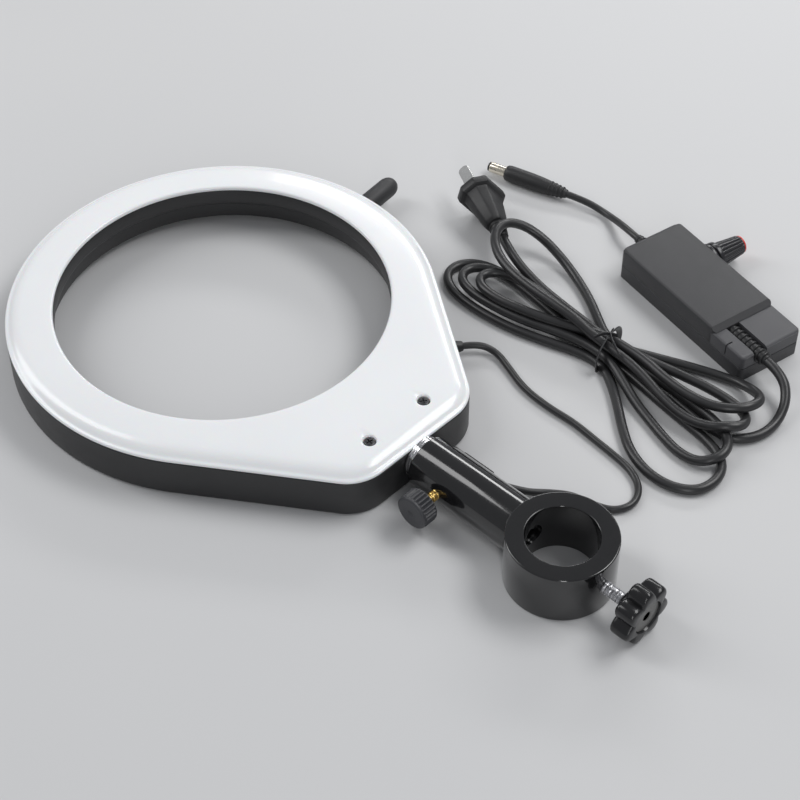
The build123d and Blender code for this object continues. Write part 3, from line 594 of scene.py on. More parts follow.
MAINS_CORD = [
    # from the adapter down to the table and under the hank
    (0.00792, -0.15914, -0.0013), (-0.00284, -0.15685, -0.0013), (-0.0115, -0.1495, -0.0065),
    (-0.0150, -0.1380, LOW), (-0.0143, -0.1260, LOW), (-0.0080, -0.1165, LOW),
    (0.0020, -0.1135, LOW), (0.0160, -0.1145, LOW), (0.0330, -0.1172, LOW), (0.0520, -0.1196, LOW),
    (0.0650, -0.1202, LOW), (0.0790, -0.1202, LOW),
    # first loop on the lamp's side
    (0.0920, -0.1208, LOW), (0.1100, -0.1228, LOW), (0.1280, -0.1252, LOW), (0.1450, -0.1266, LOW),
    (0.1590, -0.1240, LOW), (0.1675, -0.1160, LOW), (0.1665, -0.1055, LOW), (0.1560, -0.0988, LOW),
    (0.1380, -0.0972, LOW), (0.1170, -0.0992, LOW), (0.0990, -0.1042, LOW), (0.0850, -0.1088, LOW),
    (0.0750, -0.1106, LOW), (0.0660, -0.1094, LOW),
    # the widest loop on the post's side
    (0.0570, -0.1040, LOW), (0.0470, -0.0960, LOW), (0.0360, -0.0862, LOW), (0.0235, -0.0765, LOW),
    (0.0090, -0.0714, LOW), (-0.0045, -0.0722, LOW), (-0.0142, -0.0785, LOW), (-0.0168, -0.0880, LOW),
    (-0.0148, -0.0965, LOW), (-0.0085, -0.1032, LOW), (0.0030, -0.1068, LOW), (0.0170, -0.1085, LOW),
    (0.0340, -0.1110, LOW), (0.0520, -0.1144, LOW), (0.0650, -0.1154, LOW), (0.0790, -0.1153, LOW),
    # second loop on the lamp's side, lying on the first
    (0.0930, -0.1162, -0.0092), (0.1080, -0.1184, MID), (0.1240, -0.1208, MID), (0.1400, -0.1224, MID),
    (0.1530, -0.1200, MID), (0.1590, -0.1125, MID), (0.1555, -0.1045, MID), (0.1440, -0.1012, MID),
    (0.1280, -0.1018, MID), (0.1120, -0.1046, MID), (0.0970, -0.1094, MID), (0.0840, -0.1126, MID),
    (0.0730, -0.1130, MID), (0.0630, -0.1114, MID),
    # second loop on the post's side
    (0.0510, -0.1062, -0.0085), (0.0400, -0.1016, -0.0105), (0.0290, -0.0980, LOW), (0.0170, -0.0938, LOW),
    (0.0060, -0.0912, LOW), (-0.0035, -0.0918, -0.0100), (-0.0098, -0.0965, -0.0075),
    (-0.0110, -0.1042, MID),
    (-0.0065, -0.1112, MID), (0.0035, -0.1152, MID), (0.0180, -0.1172, MID), (0.0350, -0.1184, MID),
    (0.0530, -0.1182, MID), (0.0660, -0.1178, MID), (0.0790, -0.1180, MID),
    # third loop on the lamp's side, on top of both
    (0.0920, -0.1192, -0.0045), (0.1060, -0.1204, HIGH), (0.1200, -0.1216, HIGH), (0.1330, -0.1216, HIGH),
    (0.1430, -0.1180, HIGH), (0.1475, -0.1110, HIGH), (0.1430, -0.1045, HIGH), (0.1310, -0.1030, HIGH),
    (0.1170, -0.1056, HIGH), (0.1040, -0.1096, -0.0030), (0.0925, -0.1142, -0.0035),
    (0.0830, -0.1182, -0.0035),
    (0.0740, -0.1202, HIGH), (0.0630, -0.1206, HIGH),
    # third loop on the post's side, over the cord's first run
    (0.0500, -0.1200, -0.0020), (0.0370, -0.1172, -0.0018), (0.0240, -0.1158, -0.0018),
    (0.0115, -0.1168, -0.0014),
    (0.0020, -0.1208, -0.0008), (-0.0045, -0.1280, -0.0006), (-0.0052, -0.1375, -0.0025),
    (0.0020, -0.1438, -0.0065), (0.0135, -0.1460, -0.0100), (0.0275, -0.1428, LOW), (0.0420, -0.1372, LOW),
    (0.0560, -0.1312, LOW), (0.0680, -0.1262, LOW), (0.0800, -0.1272, LOW),
    # the open loop that rises over the plug
    (0.0900, -0.1336, LOW), (0.1020, -0.1416, LOW), (0.1170, -0.1492, LOW), (0.1320, -0.1538, -0.0085),
    (0.1450, -0.1544, -0.0040), (0.1550, -0.1498, 0.0018), (0.1600, -0.1410, 0.0056),
    (0.1575, -0.1310, 0.0056),
    (0.1490, -0.1232, 0.0042), (0.1360, -0.1182, 0.0034), (0.1200, -0.1158, 0.0032),
    (0.1040, -0.1156, 0.0028),
    (0.0900, -0.1156, 0.0016), (0.0790, -0.1154, -0.0014), (0.0680, -0.1152, -0.0024),
    # last loop on the post's side
    (0.0550, -0.1142, -0.0026), (0.0430, -0.1120, -0.0036), (0.0310, -0.1090, -0.0052),
    (0.0180, -0.1070, -0.0062),
    (0.0060, -0.1078, -0.0050), (-0.0035, -0.1120, -0.0022), (-0.0082, -0.1188, -0.0034),
    (-0.0058, -0.1262, -0.0056),
    (0.0030, -0.1304, MID), (0.0180, -0.1306, MID), (0.0350, -0.1282, MID), (0.0520, -0.1248, MID),
    (0.0650, -0.1228, MID), (0.0790, -0.1226, MID),
    # out to the plug
    (0.0930, -0.1242, MID), (0.1080, -0.1258, MID), (0.1220, -0.1274, -0.0062), (0.1350, -0.1292, -0.0040),
    (0.1470, -0.1321, -0.0012), (0.15697, -0.13745, -0.0009)]


# ------------------------------------------------------------------ lamp head
class Teardrop:
    """The lamp head's outline: a ring, two leaning flanks and a nose with round corners."""

    def __init__(self, s):
        self.s = s
        gap = Vector((s.centre - self.corner_x(), -self.corner_y()))
        self.lean = atan2(gap.y, gap.x) + acos((s.corner - s.ring) / gap.length)
        self.turns = [atan2(point.y, point.x - s.centre) for point in self.ring(0.0, 0.0)]

    def corner_x(self):
        return self.s.nose + self.s.corner

    def corner_y(self):
        return self.s.nose_half - self.s.corner

    def ring(self, inset, z):
        """Points of the outline moved in by inset, at height z."""
        s, lean = self.s, self.lean
        arcs = [(s.centre, 0.0, s.ring - inset, -lean, lean, 150),
                (self.corner_x(), self.corner_y(), s.corner - inset, lean, pi, 16),
                (self.corner_x(), -self.corner_y(), s.corner - inset, pi, 2 * pi - lean, 16)]
        points = []
        for x, y, radius, start, end, count in arcs:
            arc = [Vector((x + radius * cos(t), y + radius * sin(t), z))
                   for t in (start + (end - start) * i / count for i in range(count + 1))]
            if points:
                fill = 14 if x == self.corner_x() else 0
                points += [points[-1].lerp(arc[0], i / fill) for i in range(1, fill)]
            points += arc
        last, first = points[-1], points[0]
        return points + [last.lerp(first, i / 14) for i in range(1, 14)]

    def circle(self, radius, z):
        """Points round the opening, each opposite its point of the outline."""
        return [Vector((self.s.centre + radius * cos(t), radius * sin(t), z)) for t in self.turns]

    def between(self, share, inset, radius, z):
        """Points part of the way from the outline to the circle."""
        return [a.lerp(b, share) for a, b in zip(self.ring(inset, z), self.circle(radius, z))]


def screw_head(place, radius, height, finish, body, replaces, name, shank):
    """A pan head with a cross recess, on its shank."""
    outline = solid_outline([(shank[0], -shank[1]), (shank[0], 0.0, 0.0), (radius, 0.0, 0.1),
                             (radius, height, 0.6 * height)], 0.1)
    bm = lathe(outline, around=40)
    bm.transform(place)
    arm = 0.62 * radius
    cuts = []
    for low, high in (((-arm, -0.28, 0.35 * height), (arm, 0.28, height + 1)),
                      ((-0.28, -arm, 0.35 * height), (0.28, arm, height + 1))):
        cross = box(low, high, 0.05)
        cross.transform(place)
        cuts.append(cross)
    return make(name, bm, finish, body, replaces, cuts=cuts, sharp=30)


class RINGLIGHT_OT_housing(bpy.types.Operator):
    """Build the lamp head's painted housing, with its cove and lip round the opening"""
    bl_idname = "ringlight.housing"
    bl_label = "Housing"

    def execute(self, context):
        s = millimetres(context.scene.ringlight_head)
        shape = Teardrop(s)
        low, seam, lip = s.floor, s.seam, s.opening
        cove_top = 3.5
        cove = [shape.circle(s.cove + 1.4, low), shape.circle(s.cove + 0.3, low + 0.25)]
        for step in range(1, 9):
            share = step / 9
            bow = 0.8 * sin(pi * share)
            cove.append(shape.circle(s.cove + (lip - s.cove) * share + bow, low + (cove_top - low) * share))
        sections = [shape.ring(1.0, seam - 0.1), shape.ring(0.35, seam - 0.15), shape.ring(0.0, seam - 0.5),
                    shape.ring(0.0, 0.0), shape.ring(0.0, low + 2.0), shape.ring(0.25, low + 0.9),
                    shape.ring(0.9, low + 0.25), shape.ring(2.0, low),
                    shape.between(0.5, 2.0, s.cove + 1.4, low)]
        sections += cove
        sections += [shape.circle(lip + 0.15, cove_top), shape.circle(lip, cove_top + 1.2),
                     shape.circle(lip, 10.9), shape.circle(lip + 0.35, 11.35),
                     shape.circle(lip + 1.0, 11.4),
                     shape.circle(lip + 1.6, 11.1), shape.circle(lip + 1.6, cove_top + 1.5),
                     shape.circle(lip + 4.0, low + 5.0), shape.circle(s.cove + 1.2, low + 2.6),
                     shape.ring(2.6, low + 2.6), shape.ring(2.4, seam - 0.1)]
        make("housing_shell", loft(sections, wrap=True), self.finishes.housing, "head",
             ["head_housing"], sharp=40)
        return {"FINISHED"}


class RINGLIGHT_OT_diffuser(bpy.types.Operator):
    """Build the opal diffuser, crowned towards the opening, and its two screws"""
    bl_idname = "ringlight.diffuser"
    bl_label = "Diffuser"

    def execute(self, context):
        s = millimetres(context.scene.ringlight_head)
        shape = Teardrop(s)
        seam, top, lip = s.seam, s.top, s.opening
        edge = [(0.30, 0.05), (0.05, 0.25), (0.0, 0.6), (0.0, 1.0), (0.2, 1.35), (0.6, 1.6), (1.1, 1.72),
                (1.6, 1.85), (2.2, 2.25), (3.0, 2.95), (4.0, 3.65), (5.2, 4.22), (6.6, 4.66), (8.0, 4.95)]
        sections = [shape.ring(inset, seam + rise) for inset, rise in edge]
        for share, drop in ((0.2, 0.75), (0.4, 0.46), (0.6, 0.24), (0.8, 0.08), (0.93, 0.0)):
            sections.append(shape.between(share, 8.0, lip + 1.3, top - drop))
        for out, drop in ((1.3, 0.0), (0.75, 0.12), (0.3, 0.45), (0.05, 0.95), (0.0, 1.6), (0.15, 2.05),
                          (1.0, 2.1)):
            sections.append(shape.circle(lip + out, top - drop))
        for share, drop in ((0.9, 2.3), (0.6, 2.5), (0.3, 2.9)):
            sections.append(shape.between(share, 8.0, lip + 1.3, top - drop))
        sections += [shape.ring(8.0, seam + 2.9), shape.ring(5.0, seam + 1.8), shape.ring(3.0, seam + 0.5),
                     shape.ring(2.6, seam + 0.05), shape.ring(1.2, seam + 0.02)]
        cuts, joins = [], []
        for side in (-1, 1):
            joins.append(lathe(solid_outline([(4.2, 5.0), (4.2, 11.6)], 0.1),
                               (NOSE_SCREW_X, side * NOSE_SCREW_Y, 0), around=40))
            recess = [(3.0, 10.6), (3.0, 12.0, 0.3), (3.5, 12.7, 0.5), (4.6, 13.5, 0.0), (4.6, 15.0)]
            cuts.append(lathe(solid_outline(recess, 0.25), (NOSE_SCREW_X, side * NOSE_SCREW_Y, 0),
                              around=48))
        make("diffuser_cover", loft(sections, wrap=True), self.finishes.diffuser, "head",
             ["diffuser"], cuts=cuts, joins=joins, sharp=50)
        for side, word in ((-1, "right"), (1, "left")):
            place = Matrix.Translation((NOSE_SCREW_X, side * NOSE_SCREW_Y,
                                        10.6)) @ Matrix.Rotation(0.4 + side, 4, "Z")
            screw_head(place, 2.7, 1.5, self.finishes.black_zinc, "head", ["diffuser_screws"],
                       f"nose_screw_{word}", (1.5, 10.0))
        return {"FINISHED"}


class RINGLIGHT_OT_grip(bpy.types.Operator):
    """Build the round peg on the side of the head"""
    bl_idname = "ringlight.grip"
    bl_label = "Side peg"

    def execute(self, context):
        s = millimetres(context.scene.ringlight_head)
        out = Vector((cos(PEG_TURN), sin(PEG_TURN), 0))
        base = Vector((s.centre, 0, -3.0)) + out * (s.ring - 0.6)
        outline = [(0, 0), (4.7, 0), (4.95, 0.4), (5.0, 1.6), (4.6, 2.2), (4.6, 2.9), (5.05, 3.5),
                   (5.25, 4.4),
                   (5.25, 12.0), (5.25, 23.6), (5.12, 24.9), (4.75, 26.4), (4.15, 27.6), (3.3, 28.6),
                   (2.2, 29.3), (1.1, 29.55), (0, 29.6)]
        make("peg", lathe(outline, base, out, 56), self.finishes.peg, "head",
             ["side_grip"])
        return {"FINISHED"}


class RINGLIGHT_OT_lead_fittings(bpy.types.Operator):
    """Build the lead's gland and the socket on its far end"""
    bl_idname = "ringlight.lead_fittings"
    bl_label = "Lead gland and socket"

    def execute(self, context):
        f = self.finishes
        outline = [(0, -2.5), (3.1, -2.5), (3.2, 0.0), (4.4, 0.0), (4.6, 0.25), (4.6, 1.2), (4.3, 1.6),
                   (3.3, 1.7),
                   (3.1, 2.3), (2.9, 4.4), (2.5, 6.4), (2.15, 7.0), (0, 7.0)]
        make("gland_sleeve", lathe(outline, GLAND, LEAD_OUT, 48), f.relief, "head", ["lead_gland"])
        ribs = grown("gland_ribs", self.trees.ribs, placed(GLAND + LEAD_OUT * 2.6, LEAD_OUT), f.relief,
                     {"Count": 3, "Spacing": 1.4, "Radius": 3.25, "Thickness": 0.8, "Taper": 0.3})
        settle(ribs, f.relief, "head")
        low, high = (Vector(corner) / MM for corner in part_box("lead_socket"))
        middle = Vector((low.x, (low.y + high.y) / 2, (low.z + high.z) / 2))
        radius, size = (high.z - low.z) / 2, high.x - low.x
        shell = rounded([(2.95, size - 10.0), (0.8, size - 10.0), (0.8, 0.0), (radius - 1.0, 0.0, 0.6),
                         (radius, 1.6, 0.6), (radius, size - 6.0, 0.2), (radius - 0.35, size - 5.6, 0.2),
                         (radius - 0.35, size, 0.5), (2.95, size, 0.3)], 0.1)
        make("socket_shell", lathe(shell, middle, X_AXIS, 56), f.plug, "head", ["lead_socket"])
        start = Vector(LAMP_LEAD[-1]) / MM
        along = (start - Vector(LAMP_LEAD[-2]) / MM).normalized()
        sleeve = solid_outline([(2.0, 0.0), (2.6, 2.0), (3.2, 6.2)], 0.3)
        make("socket_sleeve", lathe(sleeve, start, along, 40), f.relief, "head", ["socket_relief"])
        return {"FINISHED"}


class RINGLIGHT_OT_arm(bpy.types.Operator):
    """Build the collar, the arm tube, the spigot and the ring between arm and head"""
    bl_idname = "ringlight.arm"
    bl_label = "Collar and arm"

    def execute(self, context):
        f, s = self.finishes, millimetres(context.scene.ringlight_clamp)
        half = s.half_height
        section = rounded([(s.bore, -half, 0.5), (s.collar, -half, 0.7), (s.collar, half, 0.7),
                           (s.bore, half, 0.5)], steps=5)
        cuts = [lathe(solid_outline([(5.4, 0.0), (5.4, s.bore + 5.2)], 0.05), axis=X_AXIS, around=48),
                lathe(solid_outline([(BOLT_HOLE, 0.0), (BOLT_HOLE, s.collar + 2)], 0.0), axis=X_AXIS,
                      around=32),
                lathe(solid_outline([(BOLT_HOLE, 0.0), (BOLT_HOLE, s.collar + 2)], 0.0), axis=-X_AXIS,
                      around=32)]
        make("collar", lathe(section, around=144), f.clamp, "arm", ["post_collar"],
             cuts=cuts)
        end, bore = s.arm_end, s.spigot + 0.1
        tube = rounded([(0, 40.0), (0, 22.3), (s.arm, 22.3, 0.0), (s.arm, end, 0.7), (bore, end, 0.4),
                        (bore, 40.0, 0.2), (0, 40.0)], closed=False)
        hole = lathe(solid_outline([(2.62, 0.0), (2.62, s.arm + 2)], 0.0), (THUMB_X, 0, 0), Y_AXIS, 32)
        saddle = lathe(solid_outline([(s.collar, -half - 2), (s.collar, half + 2)], 0.0), around=144)
        bolt = lathe(solid_outline([(BOLT_HOLE, 0.0), (BOLT_HOLE, 39.0)], 0.0), axis=X_AXIS, around=32)
        make("arm", lathe(tube[1:], axis=X_AXIS, around=112), f.clamp, "arm", ["arm_tube"],
             cuts=[hole, saddle, bolt])
        spigot = solid_outline([(s.spigot, 42.0, 0.8), (s.spigot, 83.9, 0.2), (4.9, 83.95, 0.1),
                                (4.9, 98.4, 0.5)])
        make("spigot", lathe(spigot, axis=X_AXIS, around=80), f.chrome, "head", ["arm_spigot"])
        ring = [(bore, 80.05), (9.6, 80.05), (10.3, 80.4), (10.3, 81.2), (9.95, 81.35), (9.95, 81.6),
                (10.3, 81.75),
                (10.3, 82.5), (9.95, 82.65), (9.95, 82.9), (10.3, 83.05), (10.3, 83.5), (9.7, 83.85),
                (bore, 83.85)]
        make("lock_collar", lathe(ring, axis=X_AXIS, around=96), f.chrome, "ring", ["lock_ring"],
             sharp=28)
        return {"FINISHED"}


class RINGLIGHT_OT_thumbscrew(bpy.types.Operator):
    """Build the brass thumbscrew with its knurled knob"""
    bl_idname = "ringlight.thumbscrew"
    bl_label = "Thumbscrew"

    def execute(self, context):
        f, s = self.finishes, millimetres(context.scene.ringlight_clamp)
        stud = grown("thumb_thread", self.trees.thread, placed((THUMB_X, 10.05, 0), Y_AXIS), f.brass,
                     {"Length": 15.4, "Radius": 2.5, "Pitch": 0.8})
        settle(stud, f.brass, "thumbscrew", ["thumb_stud"])
        knob = grown("thumb_grip", self.trees.fluted, placed((THUMB_X, 19.6, 0), Y_AXIS), f.knurled,
                     {"Length": 7.2, "Near": s.thumb_knob, "Far": s.thumb_knob, "Flutes": 26, "Depth": 0.11,
                      "Edge": 0.9, "Crest": 1.6})
        settle(knob, f.knurled, "thumbscrew", ["thumb_knob"])
        flange = solid_outline([(3.6, 0.0, 0.2), (3.9, 0.6), (s.thumb_knob - 0.9, 0.9)], 0.2)
        make("thumb_hub", lathe(flange, (THUMB_X, 19.0, 0), Y_AXIS, 56), f.knurled, "thumbscrew")
        face = rounded([(0, 0), (s.thumb_knob - 0.35, 0.0), (s.thumb_knob - 0.3, 0.9, 0.3),
                        (s.thumb_knob - 1.3, 1.35, 0.3), (1.7, 1.3, 0.3), (1.3, 0.85, 0.2), (0, 0.8)],
                       0.1, closed=False)
        make("thumb_face", lathe(face, (THUMB_X, 26.65, 0), Y_AXIS, 72), f.knurled, "thumbscrew")
        return {"FINISHED"}


class RINGLIGHT_OT_star_knob(bpy.types.Operator):
    """Build the clamp screw and its lobed knob"""
    bl_idname = "ringlight.star_knob"
    bl_label = "Clamp screw and star knob"

    def execute(self, context):
        f, s = self.finishes, millimetres(context.scene.ringlight_clamp)
        stud = grown("clamp_thread", self.trees.thread, placed((-45.5, 0, 0), X_AXIS), f.zinc,
                     {"Length": 26.5, "Radius": 3.0, "Pitch": 1.0})
        settle(stud, f.zinc, "clamp_screw", ["clamp_stud"])
        lobes, count = 7, 252

        def lobed(x, inset):
            points = []
            for i in range(count):
                turn = 2 * pi * i / count
                crest = 0.5 + 0.5 * cos(lobes * (turn + pi / 2 - pi / lobes))
                radius = s.star_knob - 3.6 * (1 - crest ** 0.55) - inset
                points.append(Vector((x, radius * cos(turn), radius * sin(turn))))
            return points

        def disc(x, radius):
            turns = [2 * pi * i / count for i in range(count)]
            return [Vector((x, radius * cos(t), radius * sin(t))) for t in turns]

        sections = [disc(-36.0, 5.7), disc(-36.05, 6.1), disc(-36.4, 6.5), disc(-38.0, 6.7),
                    disc(-38.5, 7.4),
                    lobed(-38.6, 2.2), lobed(-38.75, 1.1), lobed(-39.3, 0.35), lobed(-40.2, 0.0),
                    lobed(-46.4, 0.0), lobed(-47.6, 0.3), lobed(-48.2, 0.9), lobed(-48.45, 1.8),
                    disc(-48.5, 8.6), disc(-48.4, 8.25), disc(-47.8, 8.05), disc(-47.3, 7.9),
                    disc(-47.2, 7.3)]
        make("star", loft(sections), f.knob, "clamp_screw", ["star_knob"], sharp=42)
        face = solid_outline([(7.7, 0.0, 0.0), (7.7, 0.35, 0.2), (2.6, 0.35, 0.2), (2.3, 0.05, 0.1)], 0.1)
        make("star_face", lathe(face, (-47.15, 0, 0), -X_AXIS, 72), f.face, "clamp_screw")
        return {"FINISHED"}


class RINGLIGHT_OT_adapter(bpy.types.Operator):
    """Build the adapter's two shells, stepped at the mains end"""
    bl_idname = "ringlight.adapter"
    bl_label = "Adapter case"

    def shell(self, low, tops, edge):
        """A case part over sections (along, top height), with rounded ends and edges."""
        plan_round = 2.5
        first, last = tops[0][0], tops[-1][0]

        def inset_at(gap):
            return plan_round - sqrt(max(0, plan_round ** 2 - gap ** 2))

        starts = sorted(first + plan_round * (1 - sin(pi / 2 * step / 6)) for step in range(6))
        stations = [(a, tops[0][1], inset_at(first + plan_round - a)) for a in starts]
        stations += [(a, t, 0.0) for a, t in tops[1:-1]]
        ends = [last - plan_round + plan_round * sin(pi / 2 * step / 6) for step in range(7)]
        stations += [(a, tops[-1][1], inset_at(a - last + plan_round)) for a in ends]
        sections = []
        for along, top, inset in stations:
            half = HALF_WIDTH - inset
            drop = min(inset, edge) * 0.8
            outline = rounded([(-half, low, 0.3), (half, low, 0.3), (half, top - drop, edge),
                               (-half, top - drop, edge)], steps=5)
            sections.append([Vector((along, across, up)) for across, up in outline])
        return loft(sections)

    def execute(self, context):
        f = self.finishes
        lower = self.shell(0.0, [(-HALF_LENGTH, 7.9), (-20.0, 7.9), (20.0, 7.9), (HALF_LENGTH, 7.9)], 0.3)
        lower.transform(ADAPTER)
        make("case_lower", lower, f.adapter, "arm", ["adapter_base"], sharp=40)
        main = self.shell(8.1, [(-25.6, 18.0), (-20.0, 18.0), (20.0, 18.0), (HALF_LENGTH, 18.0)], 1.2)
        wedge = box((-30.0, -22.0, 14.0), (-25.4, 22.0, 20.0), 0.1)
        slope = bmesh.new()
        ridge = [(-21.8, 18.6), (-25.9, 15.4), (-30.0, 15.4), (-30.0, 18.6)]
        sides = [[slope.verts.new((a, side, z)) for a, z in ridge] for side in (-22.0, 22.0)]
        bridge(slope, sides, wrap=False)
        slope.faces.new(sides[0])
        slope.faces.new(sides[1])
        for solid in (main, wedge, slope):
            solid.transform(ADAPTER)
        make("case_main", main, f.adapter, "arm", ["adapter_cover"], cuts=[wedge, slope],
             sharp=26)
        end = self.shell(8.1, [(-HALF_LENGTH, 15.5), (-38.0, 15.5), (-30.0, 15.5), (-20.0, 15.5)], 1.2)
        slot = lathe(solid_outline([(4.0, -6.0), (4.0, 22.5)], 0.0), (-HALF_LENGTH - 1, 7.0, 12.2),
                     X_AXIS, 40)
        mouth = box((-HALF_LENGTH - 6, 3.0, 12.2), (-24.5, 11.0, 20.0), 0.05)
        notch = box((-34.4, 14.6, 9.4), (-33.7, 20.0, 20.0), 0.05)
        for solid in (end, slot, mouth, notch):
            solid.transform(ADAPTER)
        make("case_end", end, f.adapter_end, "arm", cuts=[slot, mouth, notch], sharp=30)
        return {"FINISHED"}


class RINGLIGHT_OT_dimmer(bpy.types.Operator):
    """Build the dimmer's flange, fluted knob, pointer line and cap"""
    bl_idname = "ringlight.dimmer"
    bl_label = "Dimmer"

    def execute(self, context):
        f = self.finishes
        flange = rounded([(4.5, 0.0), (8.2, 0.0, 0.2), (8.2, 1.2, 0.2), (7.7, 2.1, 0.3), (4.5, 2.2)], 0.1)
        base = lathe(flange, around=64)
        base.transform(DIMMER)
        make("dimmer_seat", base, f.dimmer, "arm", ["dimmer_flange"], sharp=28)
        skirt = lathe(solid_outline([(7.2, 3.0, 0.3), (7.6, 3.4, 0.3), (7.6, 5.4, 0.5), (6.7, 6.0, 0.2)],
                                    0.2), around=64)
        skirt.transform(DIMMER)
        make("dimmer_skirt", skirt, f.dimmer, "dimmer", sharp=30)
        knob = grown("dimmer_grip", self.trees.fluted, DIMMER @ Matrix.Translation((0, 0, 5.9)), f.dimmer,
                     {"Length": 14.6, "Near": 6.6, "Far": 5.0, "Flutes": 18, "Depth": 0.10, "Edge": 0.5,
                      "Crest": 2.5})
        settle(knob, f.dimmer, "dimmer", ["dimmer_knob"])
        cap = lathe(solid_outline([(4.7, 20.3, 0.1), (4.7, 21.4, 0.5), (3.6, 21.95, 0.5)], 0.2), around=56)
        cap.transform(DIMMER)
        make("dimmer_end", cap, f.cap, "dimmer", ["dimmer_cap"])
        line = box((-0.55, -0.25, 0.0), (0.55, 0.25, 16.0), 0.12)
        tilt = Matrix.Rotation(atan2(1.7, 15.5), 4, "X")
        line.transform(DIMMER @ Matrix.Rotation(POINTER_TURN, 4, "Z")
                       @ Matrix.Translation((0, -6.72, 5.6)) @ tilt.inverted())
        make("dimmer_pointer", line, f.pointer, "dimmer")
        return {"FINISHED"}


class RINGLIGHT_OT_reliefs(bpy.types.Operator):
    """Build the two ribbed strain reliefs of the adapter"""
    bl_idname = "ringlight.reliefs"
    bl_label = "Strain reliefs"

    def execute(self, context):
        f = self.finishes
        core = lathe(solid_outline([(2.7, 0.0, 0.3), (3.0, 4.0), (3.0, 27.8)], 0.2), around=48)
        core.transform(MAINS_EXIT)
        make("mains_sleeve", core, f.relief, "arm", ["ac_relief"])
        ribs = grown("mains_ribs", self.trees.ribs, MAINS_EXIT @ Matrix.Translation((0, 0, 2.2)), f.relief,
                     {"Count": 9, "Spacing": 3.0, "Radius": 3.75, "Thickness": 1.7, "Taper": 0.0})
        settle(ribs, f.relief, "arm")
        core = lathe(solid_outline([(3.4, -1.8, 0.1), (3.4, 0.3), (3.0, 1.0), (2.3, 9.0, 0.4)], 0.2),
                     around=48)
        core.transform(OUTPUT_EXIT)
        make("output_sleeve", core, f.relief, "arm", ["dc_relief"])
        ribs = grown("output_ribs", self.trees.ribs, OUTPUT_EXIT @ Matrix.Translation((0, 0, 1.0)),
                     f.relief,
                     {"Count": 4, "Spacing": 2.0, "Radius": 3.7, "Thickness": 1.1, "Taper": 0.36})
        settle(ribs, f.relief, "arm")
        return {"FINISHED"}


class RINGLIGHT_OT_barrel_plug(bpy.types.Operator):
    """Build the output cord's barrel plug"""
    bl_idname = "ringlight.barrel_plug"
    bl_label = "Barrel plug"

    def execute(self, context):
        f = self.finishes
        start, before = Vector(OUTPUT_CORD[-1]) / MM, Vector(OUTPUT_CORD[-2]) / MM
        along = (start - before).normalized()
        outline = [(0, 0), (2.05, 0), (2.3, 0.3), (2.55, 2.0), (2.9, 4.0), (3.3, 6.0), (3.6, 9.0),
                   (3.95, 12.0),
                   (4.25, 16.0), (4.4, 21.0), (4.4, 32.0), (4.3, 34.2), (4.0, 35.4), (3.5, 35.95),
                   (0, 36.0)]
        make("barrel_grip", lathe(outline, start, along, 56), f.plug, "arm", ["dc_plug_body"])
        ribs = grown("barrel_ribs", self.trees.ribs, placed(start + along * 2.6, along), f.relief,
                     {"Count": 4, "Spacing": 2.3, "Radius": 3.25, "Thickness": 1.15, "Taper": -0.3})
        settle(ribs, f.relief, "arm")
        shell = rounded([(2.1, 36.0), (2.75, 36.0), (2.75, 45.2, 0.3), (2.1, 45.2)], 0.05)
        make("barrel_metal", lathe(shell, start, along, 48), f.barrel, "arm",
             ["dc_plug_barrel"])
        tip = rounded([(1.05, 37.0), (2.08, 37.0), (2.08, 45.2), (2.5, 45.25, 0.1), (2.5, 46.2, 0.3),
                       (1.3, 46.3, 0.2),
                       (1.05, 45.9)], 0.05)
        make("barrel_tip", lathe(tip, start, along, 48), f.knob, "arm", ["dc_plug_sleeve"])
        return {"FINISHED"}


